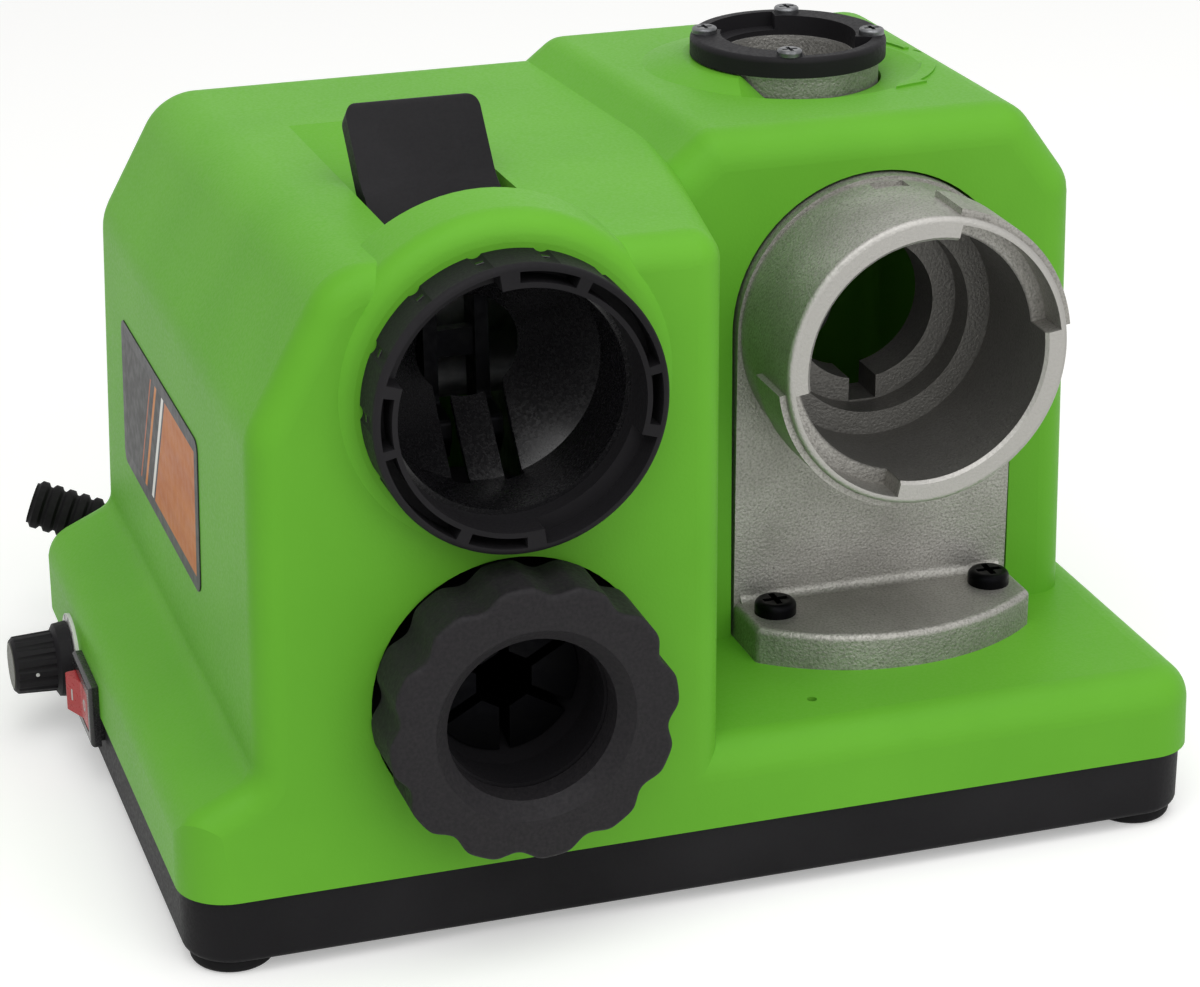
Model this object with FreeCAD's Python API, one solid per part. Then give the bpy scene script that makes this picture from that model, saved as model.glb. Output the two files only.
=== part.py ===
"""Bench-top drill bit sharpener: a moulded housing on a tray base, with a port that sets the drill,
a port that grinds its point, a port that splits its point and a chuck parked in the front.

Millimetres. X runs to the right, Y to the back and Z up, with the feet on Z = 0. The shapes are made
about the middle of the base, and are moved at the end so that the middle of the overall box is X = Y = 0.
"""
import FreeCAD, Part
import math
import os

V = FreeCAD.Vector
RIGHT, BACK, UP = V(1, 0, 0), V(0, 1, 0), V(0, 0, 1)

# Base and housing
FOOT_H = 3.0
FOOT_R = 9.0
FOOT_INSET = 11.5
FOOT_EDGE_R = 1.6
FOOT_SPIGOT_R = 6.25
FOOT_SPIGOT_H = 1.4
FOOT_SPIGOT_PLAY = 0.1
BASE_L = 230.0
BASE_W = 168.0
BASE_WALL_H = 15.0
BASE_SETBACK = 1.0
BASE_CORNER_R = 11.0
BASE_WALL = 2.6
BASE_FLOOR = 3.0
BASE_EDGE_R = 1.8
BASE_SCREW_HEAD_R = 3.3
BASE_SCREW_HEAD_H = 1.9
BASE_SCREW_R = 1.6
BASE_SCREW_SINK = 2.2
BASE_SCREW_BITE = 9.0
SCREW_HOLE_PLAY = 0.1
SCREW_BITE_PLAY = 0.05
WALL = 2.8
DECK_RISE = 18.7
DECK_EDGE_R = 8.0
DECK_DEPTH = 51.4
DECK_HIDDEN_X = -60.0
SCREW_POST_R = 5.0
SCREW_POST_INSET_X = 13.0
SCREW_POST_INSET_Y = 26.0
SCREW_POST_H = 14.0
VENT_COUNT = 9
VENT_W = 3.0
VENT_L = 34.0
VENT_PITCH = 7.0
VENT_Z = 70.0

# Left block of the housing, with the setting port over the parked chuck
FRONT_DRAFT = 0.0229
ROOF_FALL = 0.031
LEFT_ROOF_Z = 150.0
LEDGE_W = 16.0
FLANK_LEAN = 1.7
FLANK_FOOT_Z = 43.0
FLANK_FOOT_R = 5.0
LEDGE_EDGE_Z = 35.5
SHOULDER_Z = 117.0
SHOULDER_RUN = 17.8
SHOULDER_R = 14.0
LEFT_BLOCK_RIGHT_X = 0.3
LEFT_BLOCK_SPREAD = 0.187
BLOCK_EDGE_R = 6.5
REAR_LEAN = 4.0
REAR_EDGE_R = 10.0

# Tower, with the grinding port in front and the split port on top
TOWER_ROOF_Z = 153.8
TOWER_MARGIN = 9.4
TOWER_RIGHT_LEAN = 1.6
TOWER_SHOULDER_DROP = 18.5
TOWER_SHOULDER_RUN = 13.5
TOWER_SHOULDER_R = 10.0
TOWER_STEP_X = 13.0
TOWER_STEP_SLOPE = 1.25
TOWER_STEP_H = 4.0
TOWER_STEP_R = 7.0
TOWER_HIDDEN_X = -20.0
TOWER_EDGE_R = 8.0

# Front ports of the left block
PORT_X = -44.7
SETTING_Z = 121.6
CHUCK_Z = 56.3
HUMP_R = 37.3
HUMP_EDGE_R = 5.6
HUMP_LENGTH = 18.5

# Setting ring and cup
RING_R = 30.5
RING_PROUD = 10.2
RING_BORE_R = 25.6
RING_POCKET_IN_R = 26.7
RING_POCKET_OUT_R = 29.0
RING_POCKET_DEPTH = 6.5
RING_ENTRY_FROM = 99.0
RING_ENTRY_TO = 162.5
RING_ENTRY_DEPTH = 6.0
RING_POCKETS = ((-12.4, 9.8), (13.5, 60.5), (66.0, 91.0))
RING_GROOVES = 14
RING_GROOVE_R = 2.2
RING_EDGE_R = 1.2
RING_GROOVE_DEPTH = 0.6
CUP_R = 26.4
CUP_WALL = 1.9
CUP_FLANGE_R = 31.5
CUP_FLANGE_T = 2.0
CUP_DEPTH = 16.5
CONE_DEPTH = 13.5
CONE_END_R = 11.0
FORK_SPACING = 11.2
FORK_T = 3.0
FORK_SLOT_PLAY = 0.4
FORK_OUTLINE = (
    (-12, -40), (2, -40), (4, -7), (7, 4), (-2, 4), (-4, -9), (-5, -30), (-14, -31), (-14.5, -35),
)
FORK_BRIDGE_TOP = -15.0
FORK_BRIDGE_H = 6.0
FORK_BRIDGE_T = 3.0

# Alignment lever, its pin and spring
LEVER_SIDE_PLAY = 1.8
TROUGH_WALL = 2.6
TROUGH_L = 96.0
TROUGH_SLOT_L = 45.0
TROUGH_DEPTH = 11.0
TROUGH_WALL_H = 23.0
LEVER_W = 29.4
LEVER_HUB_R = 5.2
PAD_FOOT = (14.0, 11.5)
PAD_TIP = (28.0, 27.0)
PAD_T = 5.0
PAD_CORNER_R = 4.0
PAD_DISH_R = 9.0
PAD_DISH_DEPTH = 0.4
HUB_FRONT = (-3.5, 6.5)
HUB_REAR = (2.2, -4.8)
PIVOT_BACK = 42.4
PIVOT_RISE = 15.4
PIN_R = 2.0
PIN_PLAY = 0.06
PIN_PRESS_PLAY = 0.02
SPRING_R = 3.3
SPRING_WIRE = 0.8
SPRING_TURNS = 4
SPRING_PITCH = 1.35
SPRING_FOOT_L = 20.0
SPRING_ARM_L = 9.0
SPRING_ARM_ANGLE = 24.7
SPRING_ROOM = 0.35

# Parked chuck
KNOB_R = 30.6
KNOB_LENGTH = 15.2
KNOB_GAP = 0.6
KNOB_SCALLOPS = 12
KNOB_SCALLOP_HALF = 11.0
KNOB_SCALLOP_DEPTH = 2.0
KNOB_FIRST_SCALLOP = 22.0
KNOB_EDGE_R = 1.2
KNOB_HOLE_R = 18.0
KNOB_HOLE_BEVEL = 3.2
CHUCK_BODY_R = 25.2
CHUCK_BODY_L = 27.0
CHUCK_LUG_R = 29.3
CHUCK_LUG_BACK = 9.0
CHUCK_LUG_L = 6.0
CHUCK_LUG_SWEEP = 50.0
CHUCK_NOSE_R = 14.6
CHUCK_NOSE_L = 14.0
CHUCK_NOSE_LUG_R = 18.6
CHUCK_NOSE_HOLE_R = 10.4
CHUCK_NOSE_LIP = 2.0
CHUCK_NOSE_LUG_L = 4.0
CHUCK_BEVEL = 1.5
CHUCK_LUG_AT = 20.0
CHUCK_CONE_R = 17.4
CONE_MARGIN = 4.0
CHUCK_END_PLAY = 0.2
JAW_COUNT = 6
JAW_BORE_R = 6.0
JAW_FROM = 8.0
JAW_L = 22.0
JAW_PLAY = 0.55
JAW_SIDE_PLAY = 1.3
JAW_TRAVEL = 8.0
SPIGOT_R = 21.0
SPIGOT_L = 6.0
SPIGOT_PLAY = 0.06
SOCKET_R = 29.8
SOCKET_WALL = 1.8
SOCKET_PLAY = 0.3
SOCKET_L = 44.0
SOCKET_SEAT_BACK = 1.6
SOCKET_FLANGE_R = 34.0

# Grinding port casting
GRIND_X = 55.7
GRIND_Z = 108.9
TUBE_R = 32.5
TUBE_PROUD = 28.2
TUBE_WALL = 5.2
TUBE_ENTRY_WALL = 1.6
TUBE_EDGE_R = 1.2
TUBE_RIM_BEVEL = 0.7
TUBE_ENTRY_FROM = 7.5
TUBE_ENTRY_TO = 78.0
TUBE_ENTRY_DEPTH = 8.0
TUBE_BULGE = 1.4
TUBE_BULGE_L = 16.0
TUBE_SHOULDER_BACK = 1.6
TUBE_STEP_R = 22.0
TUBE_STEP_L = 7.0
TUBE_HOLE_R = 16.5
TUBE_INNER_R = 26.0
TUBE_INNER_BACK = 18.6
KEYWAY_W = 6.5
KEYWAY_DEPTH = 5.0
TOP_NOTCH_W = 8.0
TOP_NOTCH_L = 4.2
TOP_NOTCH_DEPTH = 1.2
PLATE_LIP = 0.7
PLATE_SINK = 0.3
PLATE_T = 4.5
PLATE_GAP = 0.6
FLANGE_T = 8.4
FLANGE_CORNER_R = 2.0
FLANGE_EDGE_R = 1.5
FLANGE_COVE_R = 2.2
FLANGE_END_L = 13.9
FLANGE_L = 26.4
PORT_SCREW_X = 26.0
PORT_SCREW_FORWARD = 6.9
PORT_SCREW_HEAD_R = 4.7
PORT_SCREW_HEAD_H = 3.2
PORT_SCREW_R = 2.5
PORT_BOSS_H = 12.0
DECK_HOLE_X = 27.6
DECK_HOLE_BACK = 16.3
MARK_HOLE_R = 1.1
ROOF_HOLE_X = 89.5
ROOF_HOLE_BACK = 2.8

# Split port
SPLIT_X = 55.7
SPLIT_TOP_Z = 159.4
SPLIT_RING_LIP = 1.6
SPLIT_RING_EDGE_R = 1.2
SPLIT_RING_H = 4.6
SPLIT_RING_STEP = 0.4
SPLIT_ENTRY_WALL = 3.0
SPLIT_ENTRY_FROM = 80.0
SPLIT_ENTRY_TO = 150.0
SPLIT_LIP_H = 1.2
SPLIT_TUBE_R = 21.0
SPLIT_TUBE_WALL = 5.8
SPLIT_FLANGE_W = 8.0
SPLIT_TUBE_TAIL = 1.5
SPLIT_FLANGE_T = 3.0
SPLIT_GAP = 0.7
SPLIT_SCREW_INSET = 1.8
SPLIT_SCREW_FIRST = -20.0
SPLIT_SCREW_HEAD_R = 2.9
SPLIT_SCREW_HEAD_H = 1.4
SPLIT_SCREW_R = 1.4
SPLIT_SCREW_L = 9.0
COLLAR_T = 2.6
COLLAR_FLARE = 18.3
COLLAR_EDGE_R = 2.4
COLLAR_FROM = 30.0
COLLAR_TO = 236.0
COLLAR_RAMP = 6.0
COLLAR_RAMP_R = 3.0
COLLAR_GAP = 0.4
DISH_W = 15.0
DISH_RISE = 2.0
DISH_DEPTH = 2.4

# Motor and wheel
MOTOR_BACK = 58.6
MOTOR_Z = 108.9
CAN_R = 27.0
CAN_WALL = 1.6
CAN_LEFT_X = -78.0
CAN_RIGHT_X = -14.0
CAP_T = 4.0
BEARING_R = 8.0
SHAFT_R = 3.0
SHAFT_PLAY = 0.04
SHAFT_LEFT_X = -83.5
SHAFT_RIGHT_X = 68.0
MAGNET_T = 4.0
MAGNET_SWEEP = 130.0
MAGNET_GAP = 0.25
MAGNET_OVERHANG = 2.0
CORE_R = 20.8
CORE_L = 30.0
CORE_SLOTS = 12
CORE_SLOT_W = 2.4
CORE_SLOT_DEPTH = 7.0
COMMUTATOR_R = 8.0
COMMUTATOR_L = 9.0
COMMUTATOR_INSET = 8.0
BRUSH_W = 5.0
BRUSH_GAP = 0.35
FAN_R = 19.0
FAN_L = 7.0
FAN_BLADES = 9
FAN_HUB_R = 7.0
FAN_BLADE_T = 1.2
FAN_BLADE_TWIST = 25.0
FAN_INSET = 4.0
BRACKET_T = 3.0
BRACKET_HALF_W = 30.0
BRACKET_FOOT_L = 26.0
BRACKET_CORNER_R = 10.0
BRACKET_SCREW_R = 1.7
BRACKET_SCREW_HEAD_R = 3.4
BRACKET_SCREW_HEAD_H = 2.0
MOTOR_SCREW_PCD_R = 18.0
MOTOR_SCREW_R = 1.5
MOTOR_SCREW_HEAD_R = 3.0
MOTOR_SCREW_HEAD_H = 1.8
WHEEL_R = 31.0
WHEEL_LEFT_X = 38.0
WHEEL_RIM_L = 8.0
WHEEL_BEVEL_L = 14.0
WHEEL_BEVEL = math.radians(31.0)
HUB_R = 11.0
HUB_SLEEVE_R = 8.0
HUB_L = 8.0
NUT_R = 6.2
NUT_L = 5.0
WASHER_T = 1.5
BOARD_L = 56.0
BOARD_W = 48.0
BOARD_T = 1.6
BOARD_POST_R = 3.0
BOARD_POST_H = 4.0
CAPACITOR_R = 6.0
CAPACITOR_H = 18.0
HEAT_SINK_L = 18.0
HEAT_SINK_H = 11.6

# Controls on the left side, which straddle the seam of the housing
SWITCH_Y = 21.0
SWITCH_BEZEL_W = 21.0
SWITCH_BEZEL_H = 15.0
SWITCH_BEZEL_T = 2.4
SWITCH_BODY_W = 19.0
SWITCH_BODY_H = 13.0
SWITCH_BODY_L = 18.0
SWITCH_WALL = 1.6
SWITCH_BEZEL_R = 0.9
SWITCH_PLAY = 0.2
SWITCH_BACK_T = 6.0
ROCKER_W = 14.0
ROCKER_H = 9.0
ROCKER_TILT = 12.0
ROCKER_PLAY = 0.35
ROCKER_PIN_PLAY = 0.06
ROCKER_PIN_REACH = 1.2
ROCKER_PIN_R = 1.2
ROCKER_PIVOT_DEPTH = 0.5
ROCKER_SKIRT = 1.5
ROCKER_HEEL = 4.0
ROCKER_BEVEL = 2.0
ROCKER_VALLEY_R = 3.0
ROCKER_EDGE_R = 0.8
SPEED_Y = 44.0
SPEED_KNOB_R = 6.8
SPEED_KNOB_FOOT_R = 9.0
SPEED_KNOB_L = 13.5
SPEED_KNOB_FOOT_L = 3.0
SPEED_KNOB_GAP = 0.4
SPEED_KNOB_FLUTES = 16
SPEED_KNOB_FLUTE_R = 1.0
SPEED_KNOB_END_T = 3.0
SPEED_KNOB_BEVEL = 0.8
DIAL_R = 10.6
DIAL_T = 0.8
POT_R = 8.0
POT_L = 8.0
POT_BUSH_R = 4.4
POT_NUT_R = 6.0
POT_NUT_T = 2.0
POT_SHAFT_R = 3.0
POT_SHAFT_PLAY = 0.06
POT_BACK_T = 2.0
POT_NUT_PLAY = 0.7

# Label and cord gland
LABEL_Y0 = -32.0
LABEL_Y1 = 51.0
LABEL_Z0 = 64.0
LABEL_Z1 = 99.0
LABEL_T = 0.3
LABEL_CORNER_R = 3.0
GLAND_X = -92.0
GLAND_Z = 27.5
GLAND_FLANGE_R = 9.0
GLAND_FLANGE_T = 2.2
GLAND_NECK_L = 8.0
GLAND_R = 6.0
GLAND_BORE_R = 3.4
GLAND_BORE_L = 9.0
GLAND_PLAY = 0.2
GLAND_EDGE_R = 1.0
GLAND_L = 25.0
GLAND_RIBS = 6
GLAND_FIRST_RIB = 4.5
GLAND_RIB_DEPTH = 0.9
GLAND_DIRECTION = V(-0.893, 0.322, 0.314).normalize()

# Places that follow from the sizes above
SEAM_Z = FOOT_H + BASE_WALL_H
DECK_Z = SEAM_Z + DECK_RISE
HALF_L = BASE_L / 2
HALF_W = BASE_W / 2
FRONT_Y = -HALF_W
FLOOR_TOP_Z = FOOT_H + BASE_FLOOR
FLANK_X = -HALF_L + LEDGE_W
TOWER_RIGHT_X = HALF_L - TOWER_MARGIN
TOWER_FRONT_Y = FRONT_Y + DECK_DEPTH
MOTOR_Y = TOWER_FRONT_Y + MOTOR_BACK
SPLIT_Y = MOTOR_Y
TUBE_FRONT_Y = TOWER_FRONT_Y - TUBE_PROUD
TUBE_SHOULDER_Y = TOWER_FRONT_Y + TUBE_SHOULDER_BACK
TUBE_INNER_Y = TOWER_FRONT_Y + TUBE_INNER_BACK
TUBE_BORE_R = TUBE_R - TUBE_WALL
TUBE_ENTRY_R = TUBE_R - TUBE_ENTRY_WALL
PLATE_HALF_W = TUBE_R + PLATE_LIP
PLATE_Y = TOWER_FRONT_Y + PLATE_SINK
FLANGE_END_Y = TOWER_FRONT_Y - FLANGE_END_L
FLANGE_FRONT_Y = TOWER_FRONT_Y - FLANGE_L
PORT_SCREW_Y = TOWER_FRONT_Y - PORT_SCREW_FORWARD
SPLIT_RING_R = SPLIT_TUBE_R + SPLIT_RING_LIP
SPLIT_TUBE_BORE_R = SPLIT_TUBE_R - SPLIT_TUBE_WALL
SPLIT_RING_BORE_R = SPLIT_TUBE_BORE_R + SPLIT_RING_STEP
SPLIT_ENTRY_R = SPLIT_RING_R - SPLIT_ENTRY_WALL
SPLIT_FLANGE_R = SPLIT_TUBE_R + SPLIT_FLANGE_W
SPLIT_SCREW_PCD_R = SPLIT_TUBE_R - SPLIT_SCREW_INSET
SPLIT_HOLE_R = SPLIT_TUBE_R + SPLIT_GAP
DISH_R = SPLIT_TUBE_R + DISH_W
TROUGH_W = LEVER_W + 2 * LEVER_SIDE_PLAY
SETTING_SEAT_Y = FRONT_Y + FRONT_DRAFT * (SETTING_Z - RING_R - SEAM_Z) - 0.1
CHUCK_SEAT_Y = FRONT_Y + FRONT_DRAFT * (CHUCK_Z - KNOB_R - SEAM_Z)
KNOB_BACK_Y = CHUCK_SEAT_Y - KNOB_GAP
ARCH_Y = SETTING_SEAT_Y + HUMP_LENGTH
TROUGH_REAR_Y = ARCH_Y + TROUGH_L
TROUGH_SLOT_REAR_Y = ARCH_Y + TROUGH_SLOT_L
TROUGH_FLOOR_Z = LEFT_ROOF_Z - TROUGH_DEPTH
TROUGH_WALL_FOOT_Z = LEFT_ROOF_Z - TROUGH_WALL_H
PIVOT_Y = SETTING_SEAT_Y + PIVOT_BACK
PIVOT_Z = SETTING_Z + PIVOT_RISE
SPLIT_ROOF_Z = TOWER_ROOF_Z - ROOF_FALL * (SPLIT_Y - TOWER_FRONT_Y)
SPLIT_TUBE_TOP_Z = SPLIT_TOP_Z - SPLIT_RING_H
SPLIT_SEAT_Z = SPLIT_ROOF_Z - WALL - DISH_DEPTH
SPEED_KNOB_BACK_X = -HALF_L - DIAL_T - SPEED_KNOB_GAP
SPEED_KNOB_END_X = SPEED_KNOB_BACK_X - SPEED_KNOB_L
GLAND_ELBOW = V(GLAND_X, HALF_W + GLAND_NECK_L, GLAND_Z)
LEFT = RIGHT * -1
DOWN = UP * -1
GLAND_RIB_PITCH = (GLAND_L - GLAND_FIRST_RIB) / GLAND_RIBS
GLAND_LAST_RIB = GLAND_L - 0.35 * GLAND_RIB_PITCH
GLAND_REAR_Y = GLAND_ELBOW.y + GLAND_LAST_RIB * GLAND_DIRECTION.y
GLAND_REAR_Y += GLAND_R * math.sqrt(1 - GLAND_DIRECTION.y ** 2)
ORIGIN_X = (SPEED_KNOB_END_X + HALF_L) / 2
ORIGIN_Y = (KNOB_BACK_Y - KNOB_LENGTH + GLAND_REAR_Y) / 2
FAR = 400.0

PLACE = {
    "xz": lambda u, v, w: V(u, w, v),
    "yz": lambda u, v, w: V(w, u, v),
    "xy": lambda u, v, w: V(u, v, w),
}
NORMAL = {"xz": BACK, "yz": RIGHT, "xy": UP}


def box(x0, x1, y0, y1, z0, z1):
    return Part.makeBox(x1 - x0, y1 - y0, z1 - z0, V(x0, y0, z0))


def rod(radius, start, along, length):
    return Part.makeCylinder(radius, length, start, along)


def pipe(outer, inner, start, along, length):
    return rod(outer, start, along, length).cut(rod(inner, start - along, along, length + 2))


def outline(plane, points, radii, w):
    """Closed wire through flat points, with each corner rounded by its own radius."""
    count = len(points)
    corners = []
    for i, radius in enumerate(radii):
        here = V(points[i][0], points[i][1], 0)
        to_last = (V(points[i - 1][0], points[i - 1][1], 0) - here).normalize()
        following = points[(i + 1) % count]
        to_next = (V(following[0], following[1], 0) - here).normalize()
        if radius == 0:
            corners.append((here, None, here))
            continue
        half_angle = to_last.getAngle(to_next) / 2
        reach = radius / math.tan(half_angle)
        depth = radius / math.sin(half_angle) - radius
        inward = (to_last + to_next).normalize()
        corners.append((here + to_last * reach, here + inward * depth, here + to_next * reach))

    def lift(point):
        return PLACE[plane](point.x, point.y, w)

    edges = []
    for i, (start, middle, end) in enumerate(corners):
        if middle is not None:
            edges.append(Part.Arc(lift(start), lift(middle), lift(end)).toShape())
        following = corners[(i + 1) % count][0]
        if (following - end).Length > 1e-6:
            edges.append(Part.makeLine(lift(end), lift(following)))
    return Part.Wire(edges)


def prism(plane, points, w0, w1, radii=None):
    wire = outline(plane, points, radii or [0] * len(points), w0)
    return Part.Face(wire).extrude(NORMAL[plane] * (w1 - w0))


def inset_points(points, inset):
    """An outline that runs anticlockwise, with every side moved inwards."""
    count = len(points)
    sides = []
    for i, (u, v) in enumerate(points):
        du = points[(i + 1) % count][0] - u
        dv = points[(i + 1) % count][1] - v
        length = math.hypot(du, dv)
        sides.append((u - dv / length * inset, v + du / length * inset, du, dv))
    moved = []
    for i in range(count):
        u1, v1, du1, dv1 = sides[i - 1]
        u2, v2, du2, dv2 = sides[i]
        share = ((u2 - u1) * dv2 - (v2 - v1) * du2) / (du1 * dv2 - dv1 * du2)
        moved.append((u1 + share * du1, v1 + share * dv1))
    return moved


def sector(plane, centre, r_in, r_out, a0, a1, w0, w1):
    """Part of a ring between two angles, in degrees."""
    def at(radius, degrees):
        angle = math.radians(degrees)
        return PLACE[plane](centre[0] + radius * math.cos(angle), centre[1] + radius * math.sin(angle), w0)

    middle = (a0 + a1) / 2
    edges = [
        Part.Arc(at(r_out, a0), at(r_out, middle), at(r_out, a1)).toShape(),
        Part.makeLine(at(r_out, a1), at(r_in, a1)),
        Part.Arc(at(r_in, a1), at(r_in, middle), at(r_in, a0)).toShape(),
        Part.makeLine(at(r_in, a0), at(r_out, a0)),
    ]
    return Part.Face(Part.Wire(edges)).extrude(NORMAL[plane] * (w1 - w0))


def turned(profile, start, along, sweep=360.0):
    """Solid of revolution through points of (distance along the axis, radius)."""
    side = UP if abs(along.z) < 0.5 else RIGHT
    side = (side - along * side.dot(along)).normalize()
    points = [start + along * d + side * r for d, r in profile]
    face = Part.Face(Part.makePolygon(points + points[:1]))
    return face.revolve(start, along, sweep)


def on_circle(radius, degrees):
    return radius * math.cos(math.radians(degrees)), radius * math.sin(math.radians(degrees))


def edges_where(shape, keep):
    return [edge for edge in shape.Edges if keep(edge)]


def screw(head_r, head_h, shank_r, shank_l, seat, along):
    """Pan-head screw with a cross recess; its shank runs along the given direction."""
    head = rod(head_r, seat - along * head_h, along, head_h)
    rim = edges_where(head, lambda e: e.CenterOfMass.distanceToPoint(seat - along * head_h) < 0.01)
    head = head.makeFillet(head_h * 0.45, [e for e in rim if len(e.Vertexes) == 1])
    shank = rod(shank_r, seat, along, shank_l)
    cross = []
    arm = head_r * 0.62
    width = head_r * 0.15
    top = seat - along * head_h
    across = RIGHT if abs(along.x) < 0.5 else BACK
    other = along.cross(across)
    for u, v in ((across, other), (other, across)):
        corners = [top + u * (arm * a) + v * (width * b) for a, b in ((-1, -1), (1, -1), (1, 1), (-1, 1))]
        face = Part.Face(Part.makePolygon(corners + corners[:1]))
        cross.append(face.extrude(along * (head_h * 0.5)))
    return head.fuse(shank).removeSplitter().cut(cross)


def inner_radius(radius, inset):
    """Radius of a convex edge once its wall is taken off; a thin wall leaves a small fillet."""
    return max(radius - inset, 0.4)


def roof_z(front_z, front_y, y):
    return front_z - ROOF_FALL * (y - front_y)


def round_near(solid, radius, *places):
    """Rounds the edge whose middle is nearest to each place in turn."""
    for place in places:
        edge = min(solid.Edges, key=lambda e: e.CenterOfMass.distanceToPoint(place))
        solid = solid.makeFillet(radius, [edge])
    return solid


def round_rim(solid, towards, radius, bottom):
    """Rounds the rim of the largest flat face that looks one way, all but its lower edge."""
    def facing(face):
        u, v = face.Surface.parameter(face.CenterOfMass)
        return face.normalAt(u, v).dot(towards)

    flat = [f for f in solid.Faces if f.Surface.TypeId == "Part::GeomPlane" and facing(f) > 0.9]
    face = max(flat, key=lambda f: f.Area)
    rim = [e for e in face.OuterWire.Edges if e.BoundBox.ZMax > bottom + 0.01]
    return solid.makeFillet(radius, rim)


def round_front_and_rear(solid, inset, bottom, front_r):
    """Rounds a block's front and rear rims; inside, the rear rim stays well clear of the tighter edges."""
    solid = round_rim(solid, BACK * -1, inner_radius(front_r, inset), bottom + inset)
    return round_rim(solid, BACK, inner_radius(REAR_EDGE_R, 2 * inset), bottom + inset)


def left_block(inset, bottom):
    """Left block of the housing: flat sides, a sloped shoulder and a ledge, with every edge rounded."""
    roof_front_y = FRONT_Y + FRONT_DRAFT * (LEFT_ROOF_Z - SEAM_Z)
    rear_roof_z = roof_z(LEFT_ROOF_Z, roof_front_y, HALF_W)
    mid_roof_z = (LEFT_ROOF_Z + rear_roof_z) / 2
    shoulder_x = FLANK_X + FLANK_LEAN
    slope = SHOULDER_RUN / (LEFT_ROOF_Z - SHOULDER_Z)
    top = LEFT_ROOF_Z + FAR
    front = [
        (-HALF_L, bottom),
        (FAR, bottom),
        (FAR, top),
        (shoulder_x + slope * (top - SHOULDER_Z), top),
        (shoulder_x, SHOULDER_Z),
        (FLANK_X, FLANK_FOOT_Z),
        (-HALF_L, LEDGE_EDGE_Z),
    ]
    side = [
        (FRONT_Y, bottom),
        (HALF_W, bottom),
        (HALF_W - REAR_LEAN, rear_roof_z),
        (roof_front_y, LEFT_ROOF_Z),
    ]
    right = [LEFT_BLOCK_RIGHT_X + LEFT_BLOCK_SPREAD * (y - FRONT_Y) for y in (-FAR, FAR)]
    plan = [(-FAR, -FAR), (right[0], -FAR), (right[1], FAR), (-FAR, FAR)]
    solid = prism("xz", inset_points(front, inset), -FAR, FAR)
    solid = solid.common(prism("yz", inset_points(side, inset), -FAR, FAR))
    solid = solid.common(prism("xy", inset_points(plan, inset), -FAR, FAR))
    crest = V(shoulder_x + slope * (mid_roof_z - SHOULDER_Z), 0, mid_roof_z)
    solid = round_near(solid, inner_radius(SHOULDER_R, inset), crest, V(shoulder_x, 0, SHOULDER_Z))
    solid = round_near(solid, FLANK_FOOT_R + inset, V(FLANK_X, 0, FLANK_FOOT_Z))
    solid = round_near(solid, inner_radius(DECK_EDGE_R, inset), V(-HALF_L, 0, LEDGE_EDGE_Z))
    solid = round_near(solid, inner_radius(BLOCK_EDGE_R, inset), V(sum(right) / 2, 0, mid_roof_z))
    solid = round_front_and_rear(solid, inset, bottom, BLOCK_EDGE_R)
    corner = inner_radius(BASE_CORNER_R, inset)
    base = [(-HALF_L, FRONT_Y), (FAR, FRONT_Y), (FAR, HALF_W), (-HALF_L, HALF_W)]
    return solid.common(prism("xy", inset_points(base, inset), -FAR, FAR, [corner, 0, 0, corner]))


def tower(inset, bottom):
    """Right block of the housing, set back behind the deck and a step higher than the left block."""
    lean = TOWER_RIGHT_LEAN / (TOWER_ROOF_Z - DECK_Z)
    shoulder_z = TOWER_ROOF_Z - TOWER_SHOULDER_DROP
    shoulder_x = TOWER_RIGHT_X - lean * (shoulder_z - SEAM_Z)
    slope = TOWER_SHOULDER_RUN / TOWER_SHOULDER_DROP
    top = TOWER_ROOF_Z + 2 * TOWER_STEP_H
    low = LEFT_ROOF_Z - 2 * TOWER_STEP_H
    front = [
        (TOWER_HIDDEN_X, bottom),
        (TOWER_RIGHT_X, bottom),
        (shoulder_x, shoulder_z),
        (shoulder_x - slope * (top - shoulder_z), top),
        (TOWER_STEP_X + TOWER_STEP_SLOPE * (top - LEFT_ROOF_Z), top),
        (TOWER_STEP_X + TOWER_STEP_SLOPE * (low - LEFT_ROOF_Z), low),
        (TOWER_HIDDEN_X, low),
    ]
    side = [
        (TOWER_FRONT_Y, bottom),
        (HALF_W, bottom),
        (HALF_W - REAR_LEAN, roof_z(TOWER_ROOF_Z, TOWER_FRONT_Y, HALF_W)),
        (TOWER_FRONT_Y + FRONT_DRAFT * (TOWER_ROOF_Z - SEAM_Z), TOWER_ROOF_Z),
    ]
    solid = prism("xz", inset_points(front, inset), -FAR, FAR)
    solid = solid.common(prism("yz", inset_points(side, inset), -FAR, FAR))
    mid_y = (TOWER_FRONT_Y + HALF_W) / 2
    mid_z = roof_z(TOWER_ROOF_Z, TOWER_FRONT_Y, mid_y)
    right_crest = V(shoulder_x - slope * (mid_z - shoulder_z), mid_y, mid_z)
    left_crest = V(TOWER_STEP_X + TOWER_STEP_SLOPE * (mid_z - LEFT_ROOF_Z), mid_y, mid_z)
    shoulder = V(shoulder_x, mid_y, shoulder_z)
    solid = round_near(solid, inner_radius(TOWER_SHOULDER_R, inset), right_crest, shoulder)
    solid = round_near(solid, inner_radius(TOWER_STEP_R, inset), left_crest)
    return round_front_and_rear(solid, inset, bottom, TOWER_EDGE_R)


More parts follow.
